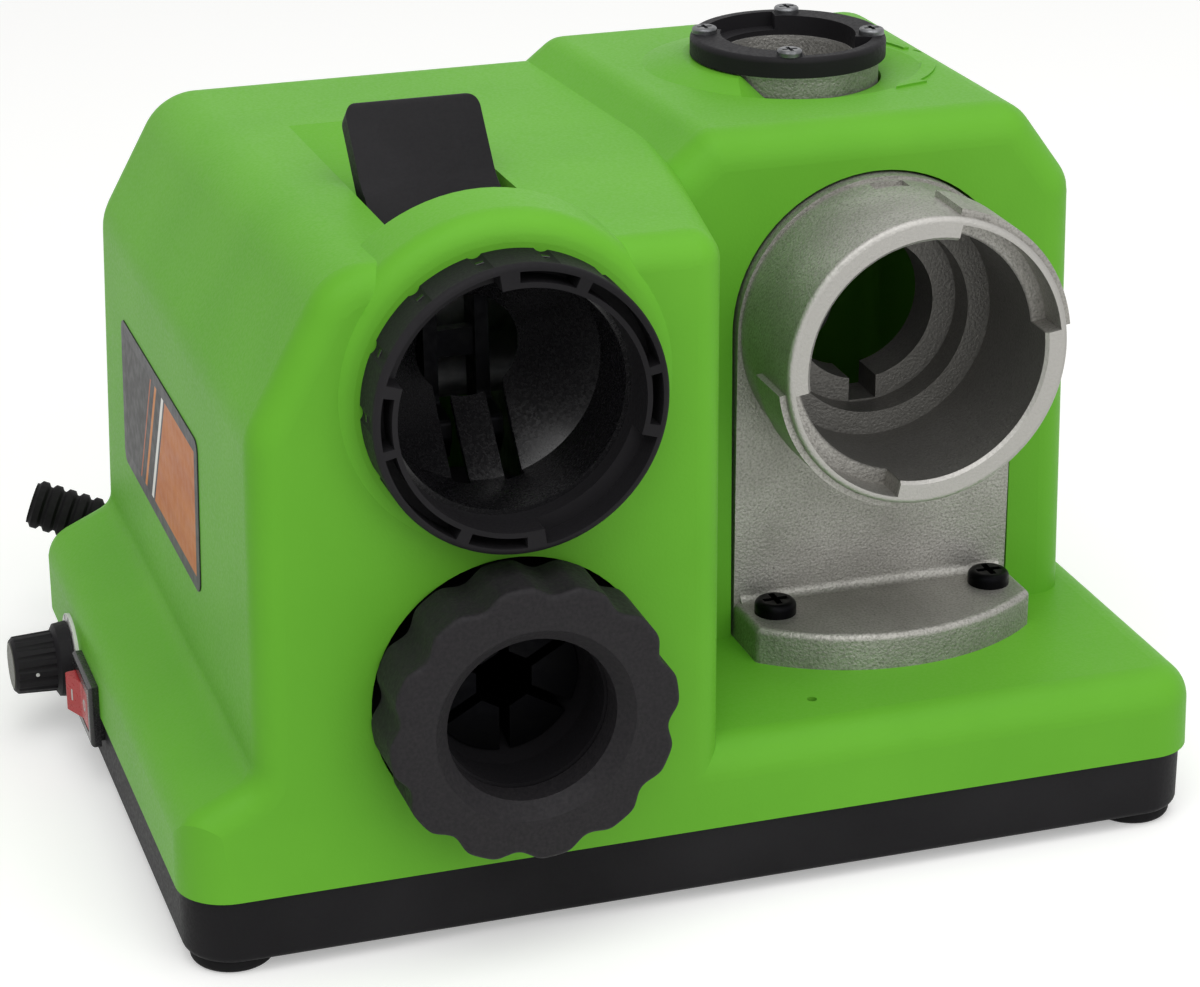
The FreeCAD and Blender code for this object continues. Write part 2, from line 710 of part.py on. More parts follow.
def deck(inset, bottom):
    """Low plinth under the tower, rounded along its upper edge."""
    rise = FRONT_DRAFT * DECK_RISE
    wires = []
    for z, shrink in ((SEAM_Z, 0.0), (DECK_Z - inset, rise)):
        half_l = HALF_L - inset - shrink
        half_w = HALF_W - inset - shrink
        plan = [(-half_l, -half_w), (half_l, -half_w), (half_l, half_w), (-half_l, half_w)]
        wires.append(outline("xy", plan, [inner_radius(BASE_CORNER_R, inset)] * 4, z))
    solid = Part.makeLoft(wires, True, True)
    upper = edges_where(solid, lambda e: min(v.Z for v in e.Vertexes) > DECK_Z - inset - 0.01)
    solid = solid.makeFillet(inner_radius(DECK_EDGE_R, inset), upper)
    if bottom < SEAM_Z:
        solid = solid.fuse(Part.Face(wires[0]).extrude(UP * (bottom - SEAM_Z)))
    return solid.cut(box(-FAR, DECK_HIDDEN_X, -FAR, FAR, -FAR, FAR))


def hump(inset):
    """Round boss behind the setting ring, which stands over the roof as an arch."""
    start = V(PORT_X, SETTING_SEAT_Y + inset, SETTING_Z)
    solid = rod(HUMP_R - inset, start, BACK, HUMP_LENGTH - 2 * inset)
    rim = edges_where(solid, lambda e: len(e.Vertexes) == 1 and abs(e.Vertexes[0].Y - start.y) < 0.01)
    return solid.makeFillet(inner_radius(HUMP_EDGE_R, inset), rim)


def lever_trough():
    """Walls round the lever's slot, and the space inside them."""
    half = TROUGH_W / 2
    rear_z = roof_z(LEFT_ROOF_Z, FRONT_Y, TROUGH_REAR_Y)
    wall_side = [
        (ARCH_Y - TROUGH_WALL, TROUGH_WALL_FOOT_Z),
        (TROUGH_SLOT_REAR_Y + TROUGH_WALL, TROUGH_WALL_FOOT_Z),
        (TROUGH_SLOT_REAR_Y + TROUGH_WALL, TROUGH_FLOOR_Z - TROUGH_WALL),
        (TROUGH_REAR_Y + TROUGH_WALL, rear_z - TROUGH_WALL),
        (TROUGH_REAR_Y + TROUGH_WALL, FAR),
        (ARCH_Y - TROUGH_WALL, FAR),
    ]
    walls = prism("yz", wall_side, PORT_X - half - TROUGH_WALL, PORT_X + half + TROUGH_WALL)
    space_side = [
        (ARCH_Y, TROUGH_WALL_FOOT_Z - 1.0),
        (TROUGH_SLOT_REAR_Y, TROUGH_WALL_FOOT_Z - 1.0),
        (TROUGH_SLOT_REAR_Y, TROUGH_FLOOR_Z),
        (TROUGH_REAR_Y, rear_z),
        (TROUGH_REAR_Y, FAR),
        (ARCH_Y, FAR),
    ]
    space = prism("yz", space_side, PORT_X - half, PORT_X + half)
    return walls, space


def screw_posts():
    """Places of the four posts that hold the base to the housing."""
    x = HALF_L - SCREW_POST_INSET_X
    y = HALF_W - SCREW_POST_INSET_Y
    return [(-x, -y), (x, -y), (-x, y), (x, y)]


def side_openings():
    """Space in the left wall for the switch and for the bush of the speed control."""
    reach = 4 * WALL
    switch = switch_box(-HALF_L - 1, -HALF_L + reach, SWITCH_BODY_W / 2 + SWITCH_PLAY,
                        SWITCH_BODY_H / 2 + SWITCH_PLAY)
    bush = rod(POT_BUSH_R + SWITCH_PLAY, V(-HALF_L - 1, SPEED_Y, SEAM_Z), RIGHT, reach + 1)
    return [switch, bush]


def cup_clearance():
    """Room that the setting cup takes inside the housing."""
    r = CUP_R + 0.4
    end = CONE_END_R + CUP_WALL + 0.4
    profile = [(-1, 0), (-1, r), (CUP_DEPTH + 0.6, r), (CUP_DEPTH + CONE_DEPTH + 0.6, end),
               (CUP_DEPTH + CONE_DEPTH + 1.0, end), (CUP_DEPTH + CONE_DEPTH + 1.0, 0)]
    return turned(profile, V(PORT_X, SETTING_SEAT_Y, SETTING_Z), BACK)


def split_collar():
    """Rim round the back of the split port, which flares out into the roof and ends in a ramp."""
    foot_r = SPLIT_HOLE_R + COLLAR_FLARE
    foot_z = SPLIT_ROOF_Z - DISH_DEPTH
    top_z = SPLIT_TUBE_TOP_Z - COLLAR_GAP
    profile = [
        (SPLIT_SEAT_Z, SPLIT_HOLE_R), (top_z, SPLIT_HOLE_R), (top_z, SPLIT_HOLE_R + COLLAR_T),
        (foot_z, foot_r), (SPLIT_SEAT_Z, foot_r),
    ]
    middle = V(SPLIT_X, SPLIT_Y, 0)
    rim = turned(profile, middle, UP)
    crest = edges_where(rim, lambda e: len(e.Vertexes) == 1 and e.Vertexes[0].Z > top_z - 0.01
                        and e.Curve.Radius > SPLIT_HOLE_R + COLLAR_T / 2)
    rim = rim.makeFillet(COLLAR_EDGE_R, crest)
    kept = sector("xy", (SPLIT_X, SPLIT_Y), SPLIT_HOLE_R - 1, foot_r + 1, COLLAR_FROM, COLLAR_TO,
                  SPLIT_SEAT_Z, top_z)
    lift = top_z + COLLAR_RAMP
    steep = COLLAR_RAMP / (top_z - foot_z)
    slope = [(0, foot_z), (foot_r, foot_z), (foot_r, lift), (-steep * (lift - foot_z), lift)]
    ramp = prism("yz", slope, 0, foot_r + 2, [COLLAR_RAMP_R, 0, 0, 0])
    ramp.rotate(V(0, 0, 0), UP, COLLAR_TO)
    ramp.translate(middle)
    return rim.common(kept).cut(ramp)


def housing_shell():
    outer = left_block(0.0, SEAM_Z).fuse([tower(0.0, SEAM_Z), deck(0.0, SEAM_Z)])
    outer = outer.fuse(hump(0.0)).removeSplitter()
    below = SEAM_Z - 3 * WALL
    hollow = left_block(WALL, below).fuse([tower(WALL, below), deck(WALL, below), hump(WALL)])
    walls, space = lever_trough()
    shell = outer.cut(hollow)
    fillers = [walls.common(outer)]
    for x, y in screw_posts():
        fillers.append(rod(SCREW_POST_R, V(x, y, SEAM_Z), UP, 2 * DECK_RISE).common(outer))
    for dx in (-PORT_SCREW_X, PORT_SCREW_X):
        boss_foot = V(GRIND_X + dx, PORT_SCREW_Y, DECK_Z - PORT_BOSS_H)
        fillers.append(rod(2.2 * PORT_SCREW_R, boss_foot, UP, PORT_BOSS_H - WALL / 2))
    pad = rod(DISH_R, V(SPLIT_X, SPLIT_Y, SPLIT_SEAT_Z), UP, WALL + DISH_DEPTH).common(outer)
    seat = rod(RING_R, V(PORT_X, SETTING_SEAT_Y, SETTING_Z), BACK, 2 * WALL)
    socket_seat = rod(SOCKET_FLANGE_R, V(PORT_X, CHUCK_SEAT_Y + SOCKET_SEAT_BACK, CHUCK_Z), BACK, WALL)
    shell = shell.fuse(fillers + [pad, seat, socket_seat])
    dish_side = [(0, 0), (0, SPLIT_HOLE_R), (DISH_DEPTH + DISH_RISE, DISH_R), (FAR, DISH_R), (FAR, 0)]
    dish = turned(dish_side, V(SPLIT_X, SPLIT_Y, SPLIT_ROOF_Z - DISH_DEPTH), UP)
    shell = shell.cut(dish).fuse(split_collar())
    plate_half = PLATE_HALF_W + PLATE_GAP
    front, back = TOWER_FRONT_Y - 3 * WALL, TOWER_FRONT_Y + 4 * WALL
    plate_slot = box(GRIND_X - plate_half, GRIND_X + plate_half, front, back, DECK_Z, GRIND_Z)
    plate_round = rod(plate_half, V(GRIND_X, front, GRIND_Z), BACK, back - front)
    cuts = [
        space,
        cup_clearance(),
        rod(SOCKET_R + SOCKET_PLAY, V(PORT_X, FRONT_Y - 1, CHUCK_Z), BACK, 4 * WALL),
        plate_slot,
        plate_round,
        rod(SPLIT_HOLE_R, V(SPLIT_X, SPLIT_Y, SPLIT_SEAT_Z - WALL), UP, FAR),
        rod(MARK_HOLE_R, V(DECK_HOLE_X, FRONT_Y + DECK_HOLE_BACK, SEAM_Z), UP, FAR),
        rod(MARK_HOLE_R, V(ROOF_HOLE_X, SPLIT_Y + ROOF_HOLE_BACK, SPLIT_ROOF_Z - 4 * WALL), UP, FAR),
        rod(PIN_R + PIN_PRESS_PLAY, V(PORT_X - FAR / 8, PIVOT_Y, PIVOT_Z), RIGHT, FAR / 4).common(walls),
        rod(GLAND_R + GLAND_PLAY, V(GLAND_X, HALF_W - 4 * WALL, GLAND_Z), BACK, 8 * WALL),
    ]
    for dx in (-PORT_SCREW_X, PORT_SCREW_X):
        boss_foot = V(GRIND_X + dx, PORT_SCREW_Y, DECK_Z - PORT_BOSS_H - 1)
        cuts.append(rod(PORT_SCREW_R + SCREW_BITE_PLAY, boss_foot, UP, PORT_BOSS_H + 2))
    for x, y in screw_posts():
        cuts.append(rod(BASE_SCREW_R + SCREW_BITE_PLAY, V(x, y, SEAM_Z - 1), UP, SCREW_POST_H - 1))
    for i in range(VENT_COUNT):
        x = PORT_X + (i - (VENT_COUNT - 1) / 2) * VENT_PITCH
        x0, x1 = x - VENT_W / 2, x + VENT_W / 2
        slot = [(x0, VENT_Z), (x1, VENT_Z), (x1, VENT_Z + VENT_L), (x0, VENT_Z + VENT_L)]
        cuts.append(prism("xz", slot, HALF_W - 14, HALF_W + 2, [VENT_W * 0.45] * 4))
    return shell.cut(cuts + side_openings()).removeSplitter()


def base_tray():
    def block(inset, z0, z1):
        half_l = HALF_L - BASE_SETBACK - inset
        half_w = HALF_W - BASE_SETBACK - inset
        plan = [(-half_l, -half_w), (half_l, -half_w), (half_l, half_w), (-half_l, half_w)]
        return prism("xy", plan, z0, z1, [BASE_CORNER_R - inset] * 4)

    solid = block(0.0, FOOT_H, SEAM_Z)
    lower = edges_where(solid, lambda e: max(v.Z for v in e.Vertexes) < FOOT_H + 0.01)
    solid = solid.makeFillet(BASE_EDGE_R, lower)
    solid = solid.cut(block(BASE_WALL, FLOOR_TOP_Z, SEAM_Z + 1))
    foot_z = FOOT_H + BASE_FLOOR / 2
    solid = solid.fuse([rod(SCREW_POST_R, V(x, y, foot_z), UP, SEAM_Z - foot_z) for x, y in screw_posts()])
    cuts = side_openings()
    for x, y in screw_posts():
        cuts.append(rod(BASE_SCREW_R + SCREW_HOLE_PLAY, V(x, y, 0), UP, SEAM_Z + 1))
        cuts.append(rod(BASE_SCREW_HEAD_R + 3 * SCREW_HOLE_PLAY, V(x, y, 0), UP, FOOT_H + BASE_SCREW_SINK))
    for x, y in foot_places():
        cuts.append(rod(FOOT_SPIGOT_R + FOOT_SPIGOT_PLAY, V(x, y, 0), UP,
                        FOOT_H + FOOT_SPIGOT_H + FOOT_SPIGOT_PLAY))
    for i in range(VENT_COUNT):
        x = PORT_X + (i - (VENT_COUNT - 1) / 2) * VENT_PITCH
        cuts.append(box(x - VENT_W / 2, x + VENT_W / 2, -VENT_L / 2, VENT_L / 2, 0, FLOOR_TOP_Z + 1))
    for x, y in bracket_screw_places():
        cuts.append(rod(BRACKET_SCREW_R + SCREW_BITE_PLAY, V(x, y, 0), UP, FLOOR_TOP_Z + 1))
    return solid.cut(cuts)


def foot_places():
    x = HALF_L - FOOT_INSET
    y = HALF_W - FOOT_INSET
    return [(-x, -y), (x, -y), (-x, y), (x, y)]


def rubber_feet():
    feet = []
    for x, y in foot_places():
        pad = rod(FOOT_R, V(x, y, 0), UP, FOOT_H)
        rim = edges_where(pad, lambda e: len(e.Vertexes) == 1 and e.Vertexes[0].Z < 0.01)
        pad = pad.makeFillet(FOOT_EDGE_R, rim)
        feet.append(pad.fuse(rod(FOOT_SPIGOT_R, V(x, y, FOOT_H), UP, FOOT_SPIGOT_H)))
    return Part.makeCompound(feet)


def base_screws():
    seat_z = FOOT_H + BASE_SCREW_SINK
    length = SEAM_Z - seat_z + BASE_SCREW_BITE
    return Part.makeCompound(
        [screw(BASE_SCREW_HEAD_R, BASE_SCREW_HEAD_H, BASE_SCREW_R, length, V(x, y, seat_z), UP)
         for x, y in screw_posts()])


def bracket_screw_places():
    right_x = CAN_RIGHT_X + CAP_T + BRACKET_T
    return [(right_x + BRACKET_FOOT_L * share, MOTOR_Y + side * BRACKET_HALF_W * 0.6)
            for share in (0.35, 0.75) for side in (-1, 1)]


def rim_at(shape, along, place):
    """Full circles of a shape at one distance along an axis."""
    def there(edge):
        return len(edge.Vertexes) == 1 and abs(edge.Vertexes[0].Point.dot(along) - place) < 0.01

    return edges_where(shape, there)


def setting_ring():
    front_y = SETTING_SEAT_Y - RING_PROUD
    centre = (PORT_X, SETTING_Z)
    solid = rod(RING_R, V(PORT_X, front_y, SETTING_Z), BACK, RING_PROUD)
    solid = solid.makeFillet(RING_EDGE_R, rim_at(solid, BACK, front_y))
    cuts = [rod(RING_BORE_R, V(PORT_X, front_y - 1, SETTING_Z), BACK, RING_PROUD + 2)]
    for turn in (0, 180):
        cuts.append(sector("xz", centre, RING_BORE_R - 1, RING_POCKET_OUT_R, RING_ENTRY_FROM + turn,
                           RING_ENTRY_TO + turn, front_y - 1, front_y + RING_ENTRY_DEPTH))
        for a0, a1 in RING_POCKETS:
            cuts.append(sector("xz", centre, RING_POCKET_IN_R, RING_POCKET_OUT_R, a0 + turn, a1 + turn,
                               front_y - 1, front_y + RING_POCKET_DEPTH))
    for i in range(RING_GROOVES):
        x, z = on_circle(RING_R + RING_GROOVE_R - RING_GROOVE_DEPTH, 360.0 / RING_GROOVES * i)
        start = V(PORT_X + x, front_y + RING_EDGE_R, SETTING_Z + z)
        cuts.append(rod(RING_GROOVE_R, start, BACK, RING_PROUD))
    return solid.cut(cuts)


def setting_cup():
    inner_r = CUP_R - CUP_WALL
    deep = CUP_DEPTH + CONE_DEPTH
    flange = 2 * WALL
    profile = [
        (0, inner_r), (0, CUP_R), (flange, CUP_R), (flange, CUP_FLANGE_R),
        (flange + CUP_FLANGE_T, CUP_FLANGE_R), (flange + CUP_FLANGE_T, CUP_R), (CUP_DEPTH, CUP_R),
        (deep, CONE_END_R + CUP_WALL), (deep, CONE_END_R), (CUP_DEPTH, inner_r),
    ]
    solid = turned(profile, V(PORT_X, SETTING_SEAT_Y, SETTING_Z), BACK)
    half = FORK_T / 2 + FORK_SLOT_PLAY
    slots = []
    for x in fork_places():
        slots.append(box(x - half, x + half, SETTING_SEAT_Y + CUP_DEPTH - 2, SETTING_SEAT_Y + deep + 2,
                         SETTING_Z - CUP_R - 4, SETTING_Z - 3.5))
    return solid.cut(slots)


def fork_places():
    return [PORT_X - FORK_SPACING / 2, PORT_X + FORK_SPACING / 2]


def by_pivot(points):
    return [(PIVOT_Y + y, PIVOT_Z + z) for y, z in points]


def fork_blades():
    blade = by_pivot(FORK_OUTLINE)
    radii = [1.5, 3, 0, 0, 0, 0, 2, 1.2, 2]
    return [prism("yz", blade, x - FORK_T / 2, x + FORK_T / 2, radii) for x in fork_places()]


def pin_bore(radius):
    return rod(radius, V(PORT_X - TROUGH_W, PIVOT_Y, PIVOT_Z), RIGHT, 2 * TROUGH_W)


def alignment_fork():
    half = FORK_SPACING / 2
    first, second = fork_blades()
    top = PIVOT_Z + FORK_BRIDGE_TOP
    bridge = box(PORT_X - half, PORT_X + half, PIVOT_Y - FORK_BRIDGE_T, PIVOT_Y, top - FORK_BRIDGE_H, top)
    return first.fuse([second, bridge]).removeSplitter().cut(pin_bore(PIN_R + PIN_PLAY))


def alignment_lever():
    low, high = V(PAD_FOOT[0], PAD_FOOT[1], 0), V(PAD_TIP[0], PAD_TIP[1], 0)
    run = (high - low).normalize()
    out = V(-run.y, run.x, 0)

    def flat(points):
        return by_pivot([(p.x, p.y) for p in points])

    side = flat([V(*HUB_REAR, 0), low - out * PAD_T, high - out * PAD_T, high, low, V(*HUB_FRONT, 0)])
    x0, x1 = PORT_X - LEVER_W / 2, PORT_X + LEVER_W / 2
    solid = prism("yz", side, x0, x1, [0, 8, 2, 2, 10, 0])
    solid = solid.fuse(rod(LEVER_HUB_R, V(x0, PIVOT_Y, PIVOT_Z), RIGHT, LEVER_W))
    ball_r = (PAD_DISH_R ** 2 + PAD_DISH_DEPTH ** 2) / (2 * PAD_DISH_DEPTH)
    middle = (low + high) * 0.5 + out * (ball_r - PAD_DISH_DEPTH)
    dish = Part.makeSphere(ball_r, V(PORT_X, PIVOT_Y + middle.x, PIVOT_Z + middle.y))
    corner = high - run * PAD_CORNER_R - out * (2 * PAD_T)
    upward, through = run * (2 * PAD_CORNER_R), out * (4 * PAD_T)
    tip = flat([corner, corner + upward, corner + upward + through, corner + through])
    corners = []
    for x, inward in ((x0, 1), (x1, -1)):
        middle_x = x + inward * PAD_CORNER_R
        square = prism("yz", tip, min(x - inward, middle_x), max(x - inward, middle_x))
        axis = V(middle_x, PIVOT_Y + corner.x, PIVOT_Z + corner.y)
        corners.append(square.cut(rod(PAD_CORNER_R, axis, V(0, out.x, out.y), 4 * PAD_T)))
    recess_half = FORK_SPACING / 2 - FORK_T / 2
    arm = spring_arm_direction()
    above = V(-arm.y, arm.x, 0)
    top = SPRING_R + SPRING_WIRE / 2 + SPRING_ROOM
    reach = arm * (SPRING_ARM_L + 1)
    under = above * (-3 * LEVER_HUB_R)
    back = arm * (-LEVER_HUB_R / 2)
    arm_room = flat([above * top + back, above * top + reach, under + reach, under + back])
    cuts = [
        dish,
        pin_bore(PIN_R + PIN_PLAY),
        rod(top, V(PORT_X - recess_half, PIVOT_Y, PIVOT_Z), RIGHT, 2 * recess_half),
        prism("yz", arm_room, PORT_X - recess_half, PORT_X + recess_half),
    ]
    return solid.cut(cuts + corners + fork_blades()).removeSplitter()


def spring_arm_direction():
    """Direction of the spring's upper arm, under the lever, in the plane across the pin."""
    angle = math.radians(SPRING_ARM_ANGLE)
    return V(math.cos(angle), math.sin(angle), 0)


def lever_pin():
    half = TROUGH_W / 2 + TROUGH_WALL
    return rod(PIN_R, V(PORT_X - half, PIVOT_Y, PIVOT_Z), RIGHT, 2 * half)


def arc_from(start, tangent, end):
    """Arc that leaves one point along a tangent and ends at another."""
    chord = end - start
    angle = 2 * tangent.getAngle(chord)
    if angle < 1e-7:
        return Part.makeLine(start, end)
    across = (chord * (tangent.dot(chord) / chord.dot(chord)) - tangent).normalize()
    middle = (start + end) * 0.5 - across * (chord.Length / 2 * math.tan(angle / 4))
    return Part.Arc(start, middle, end).toShape()


def biarc(p0, t0, p1, t1):
    """Two arcs that meet smoothly, between two points with their tangents."""
    v = p1 - p0
    t = t0 + t1
    same = 2 * (1 - t0.dot(t1))
    vt = v.dot(t)
    if same > 1e-9:
        reach = (-vt + math.sqrt(vt * vt + same * v.dot(v))) / same
    else:
        reach = v.dot(v) / (4 * v.dot(t1))
    joint = (p0 + p1 + (t0 - t1) * reach) * 0.5
    first = arc_from(p0, t0, joint)
    back = arc_from(p1, t1 * -1, joint)
    return [first, back]


def lever_spring():
    """Torsion spring round the pin: a foot on the slot's rear wall, the coil and an arm under the lever."""
    start_angle = -90.0
    last = 360.0 * SPRING_TURNS + 270.0 - (90.0 + SPRING_ARM_ANGLE)
    steps = SPRING_TURNS * 4 + 2
    slope = SPRING_PITCH / (2 * math.pi * SPRING_R)
    run = math.hypot(1, slope)
    half = SPRING_PITCH * last / 720

    def place(turned_by):
        angle = math.radians(start_angle - turned_by)
        x = PORT_X - half + SPRING_PITCH * turned_by / 360
        return V(x, PIVOT_Y + SPRING_R * math.cos(angle), PIVOT_Z + SPRING_R * math.sin(angle))

    def heading(turned_by):
        angle = math.radians(start_angle - turned_by)
        return V(slope / run, math.sin(angle) / run, -math.cos(angle) / run)

    stops = [last * i / steps for i in range(steps + 1)]
    first = place(0)
    edges = [Part.makeLine(first - heading(0) * SPRING_FOOT_L, first)]
    for a, b in zip(stops, stops[1:]):
        edges += biarc(place(a), heading(a), place(b), heading(b))
    edges.append(Part.makeLine(place(last), place(last) + heading(last) * SPRING_ARM_L))
    path = Part.Wire(Part.__sortEdges__(edges))
    profile = Part.Wire(Part.makeCircle(SPRING_WIRE / 2, first - heading(0) * SPRING_FOOT_L, heading(0)))
    tube = path.makePipeShell([profile], True, False)
    points = [edge.valueAt(edge.FirstParameter + (edge.LastParameter - edge.FirstParameter) * k / 12)
              for edge in edges[1:-1] for k in range(12)]
    per_turn = 360.0 / last * len(points)
    least = min(p.distanceToPoint(q) for i, p in enumerate(points) for q in points[i + int(per_turn / 2):])
    print("spring least gap", round(least - SPRING_WIRE, 3))
    return tube


def storage_socket():
    seat = CHUCK_SEAT_Y + SOCKET_SEAT_BACK + WALL
    outer_r = SOCKET_R + SOCKET_WALL
    profile = [
        (0, SOCKET_R), (0, SOCKET_FLANGE_R), (SOCKET_WALL, SOCKET_FLANGE_R), (SOCKET_WALL, outer_r),
        (SOCKET_L, outer_r), (SOCKET_L, 0), (SOCKET_L - SOCKET_WALL, 0), (SOCKET_L - SOCKET_WALL, SOCKET_R),
    ]
    return turned(profile, V(PORT_X, seat, CHUCK_Z), BACK)


def knob_outline(y):
    """Closed curve round the knob, which dips softly at each scallop."""
    steps = 10
    pitch = 360.0 / KNOB_SCALLOPS
    points = []
    for i in range(KNOB_SCALLOPS * steps):
        off = ((i + steps // 2) % steps - steps // 2) * pitch / steps
        dip = math.cos(math.radians(90 * min(abs(off) / KNOB_SCALLOP_HALF, 1))) ** 2
        x, z = on_circle(KNOB_R - KNOB_SCALLOP_DEPTH * dip, KNOB_FIRST_SCALLOP + pitch * i / steps)
        points.append(V(PORT_X + x, y, CHUCK_Z + z))
    curve = Part.BSplineCurve()
    curve.interpolate(Points=points, PeriodicFlag=True)
    return Part.Wire([curve.toShape()])


def chuck_knob():
    front_y = KNOB_BACK_Y - KNOB_LENGTH
    start = V(PORT_X, front_y, CHUCK_Z)
    solid = Part.Face(knob_outline(front_y)).extrude(BACK * KNOB_LENGTH)
    front_edges = edges_where(solid, lambda e: e.BoundBox.YMax < front_y + 0.01)
    solid = solid.makeFillet(KNOB_EDGE_R, front_edges)
    bore_r = SPIGOT_R + SPIGOT_PLAY
    bevel_r = KNOB_HOLE_R + KNOB_HOLE_BEVEL + 1
    step = KNOB_LENGTH - SPIGOT_L
    hole = [
        (-1, 0), (-1, bevel_r), (KNOB_HOLE_BEVEL, KNOB_HOLE_R), (step, KNOB_HOLE_R), (step, bore_r),
        (KNOB_LENGTH + 1, bore_r), (KNOB_LENGTH + 1, 0),
    ]
    return solid.cut(turned(hole, start, BACK))


def chuck_cone_r(distance):
    """Inner radius of the chuck body's cone at a distance behind its shoulder."""
    deep = CHUCK_BODY_L + CHUCK_NOSE_L
    share = (distance - CONE_MARGIN) / (deep - CHUCK_NOSE_LIP - CONE_MARGIN)
    return CHUCK_CONE_R + (CHUCK_NOSE_HOLE_R - CHUCK_CONE_R) * share


def chuck_start():
    return V(PORT_X, KNOB_BACK_Y + CHUCK_END_PLAY, CHUCK_Z)


def chuck_body():
    deep = CHUCK_BODY_L + CHUCK_NOSE_L
    front = CHUCK_END_PLAY * 2 - SPIGOT_L
    profile = [
        (front, CHUCK_CONE_R), (front, SPIGOT_R), (0, SPIGOT_R), (0, CHUCK_BODY_R),
        (CHUCK_BODY_L - CHUCK_BEVEL, CHUCK_BODY_R), (CHUCK_BODY_L, CHUCK_BODY_R - CHUCK_BEVEL),
        (CHUCK_BODY_L, CHUCK_NOSE_R),
        (deep, CHUCK_NOSE_R), (deep, CHUCK_NOSE_HOLE_R), (deep - CHUCK_NOSE_LIP, CHUCK_NOSE_HOLE_R),
        (CONE_MARGIN, CHUCK_CONE_R),
    ]
    solid = turned(profile, chuck_start(), BACK)
    centre = (PORT_X, CHUCK_Z)
    y = chuck_start().y
    half = CHUCK_LUG_SWEEP / 2
    lugs = []
    for turn in (CHUCK_LUG_AT, CHUCK_LUG_AT + 180):
        lugs.append(sector("xz", centre, CHUCK_BODY_R - 1, CHUCK_LUG_R, turn - half, turn + half,
                           y + CHUCK_LUG_BACK, y + CHUCK_LUG_BACK + CHUCK_LUG_L))
        lugs.append(sector("xz", centre, CHUCK_NOSE_R - 1, CHUCK_NOSE_LUG_R, turn - half, turn + half,
                           y + deep - CHUCK_NOSE_L / 2, y + deep - CHUCK_NOSE_L / 2 + CHUCK_NOSE_LUG_L))
    return solid.fuse(lugs).removeSplitter()


def collet_jaw(index):
    start = chuck_start()
    end = JAW_FROM + JAW_L
    front_r = chuck_cone_r(JAW_FROM) - JAW_PLAY
    end_r = chuck_cone_r(end) - JAW_PLAY
    cone = turned([(JAW_FROM, 0), (JAW_FROM, front_r), (end, end_r), (end, 0)], start, BACK)
    flare = math.tan(math.pi / JAW_COUNT)
    outer = CHUCK_CONE_R + 3
    inner_half = JAW_BORE_R * flare - JAW_SIDE_PLAY
    outer_half = outer * flare - JAW_SIDE_PLAY
    across = [(JAW_BORE_R, -inner_half), (outer, -outer_half), (outer, outer_half), (JAW_BORE_R, inner_half)]
    wedge = prism("xz", across, 0, end + 1)
    wedge.rotate(V(0, 0, 0), BACK, -360.0 / JAW_COUNT * index)
    wedge.translate(start)
    return cone.common(wedge)


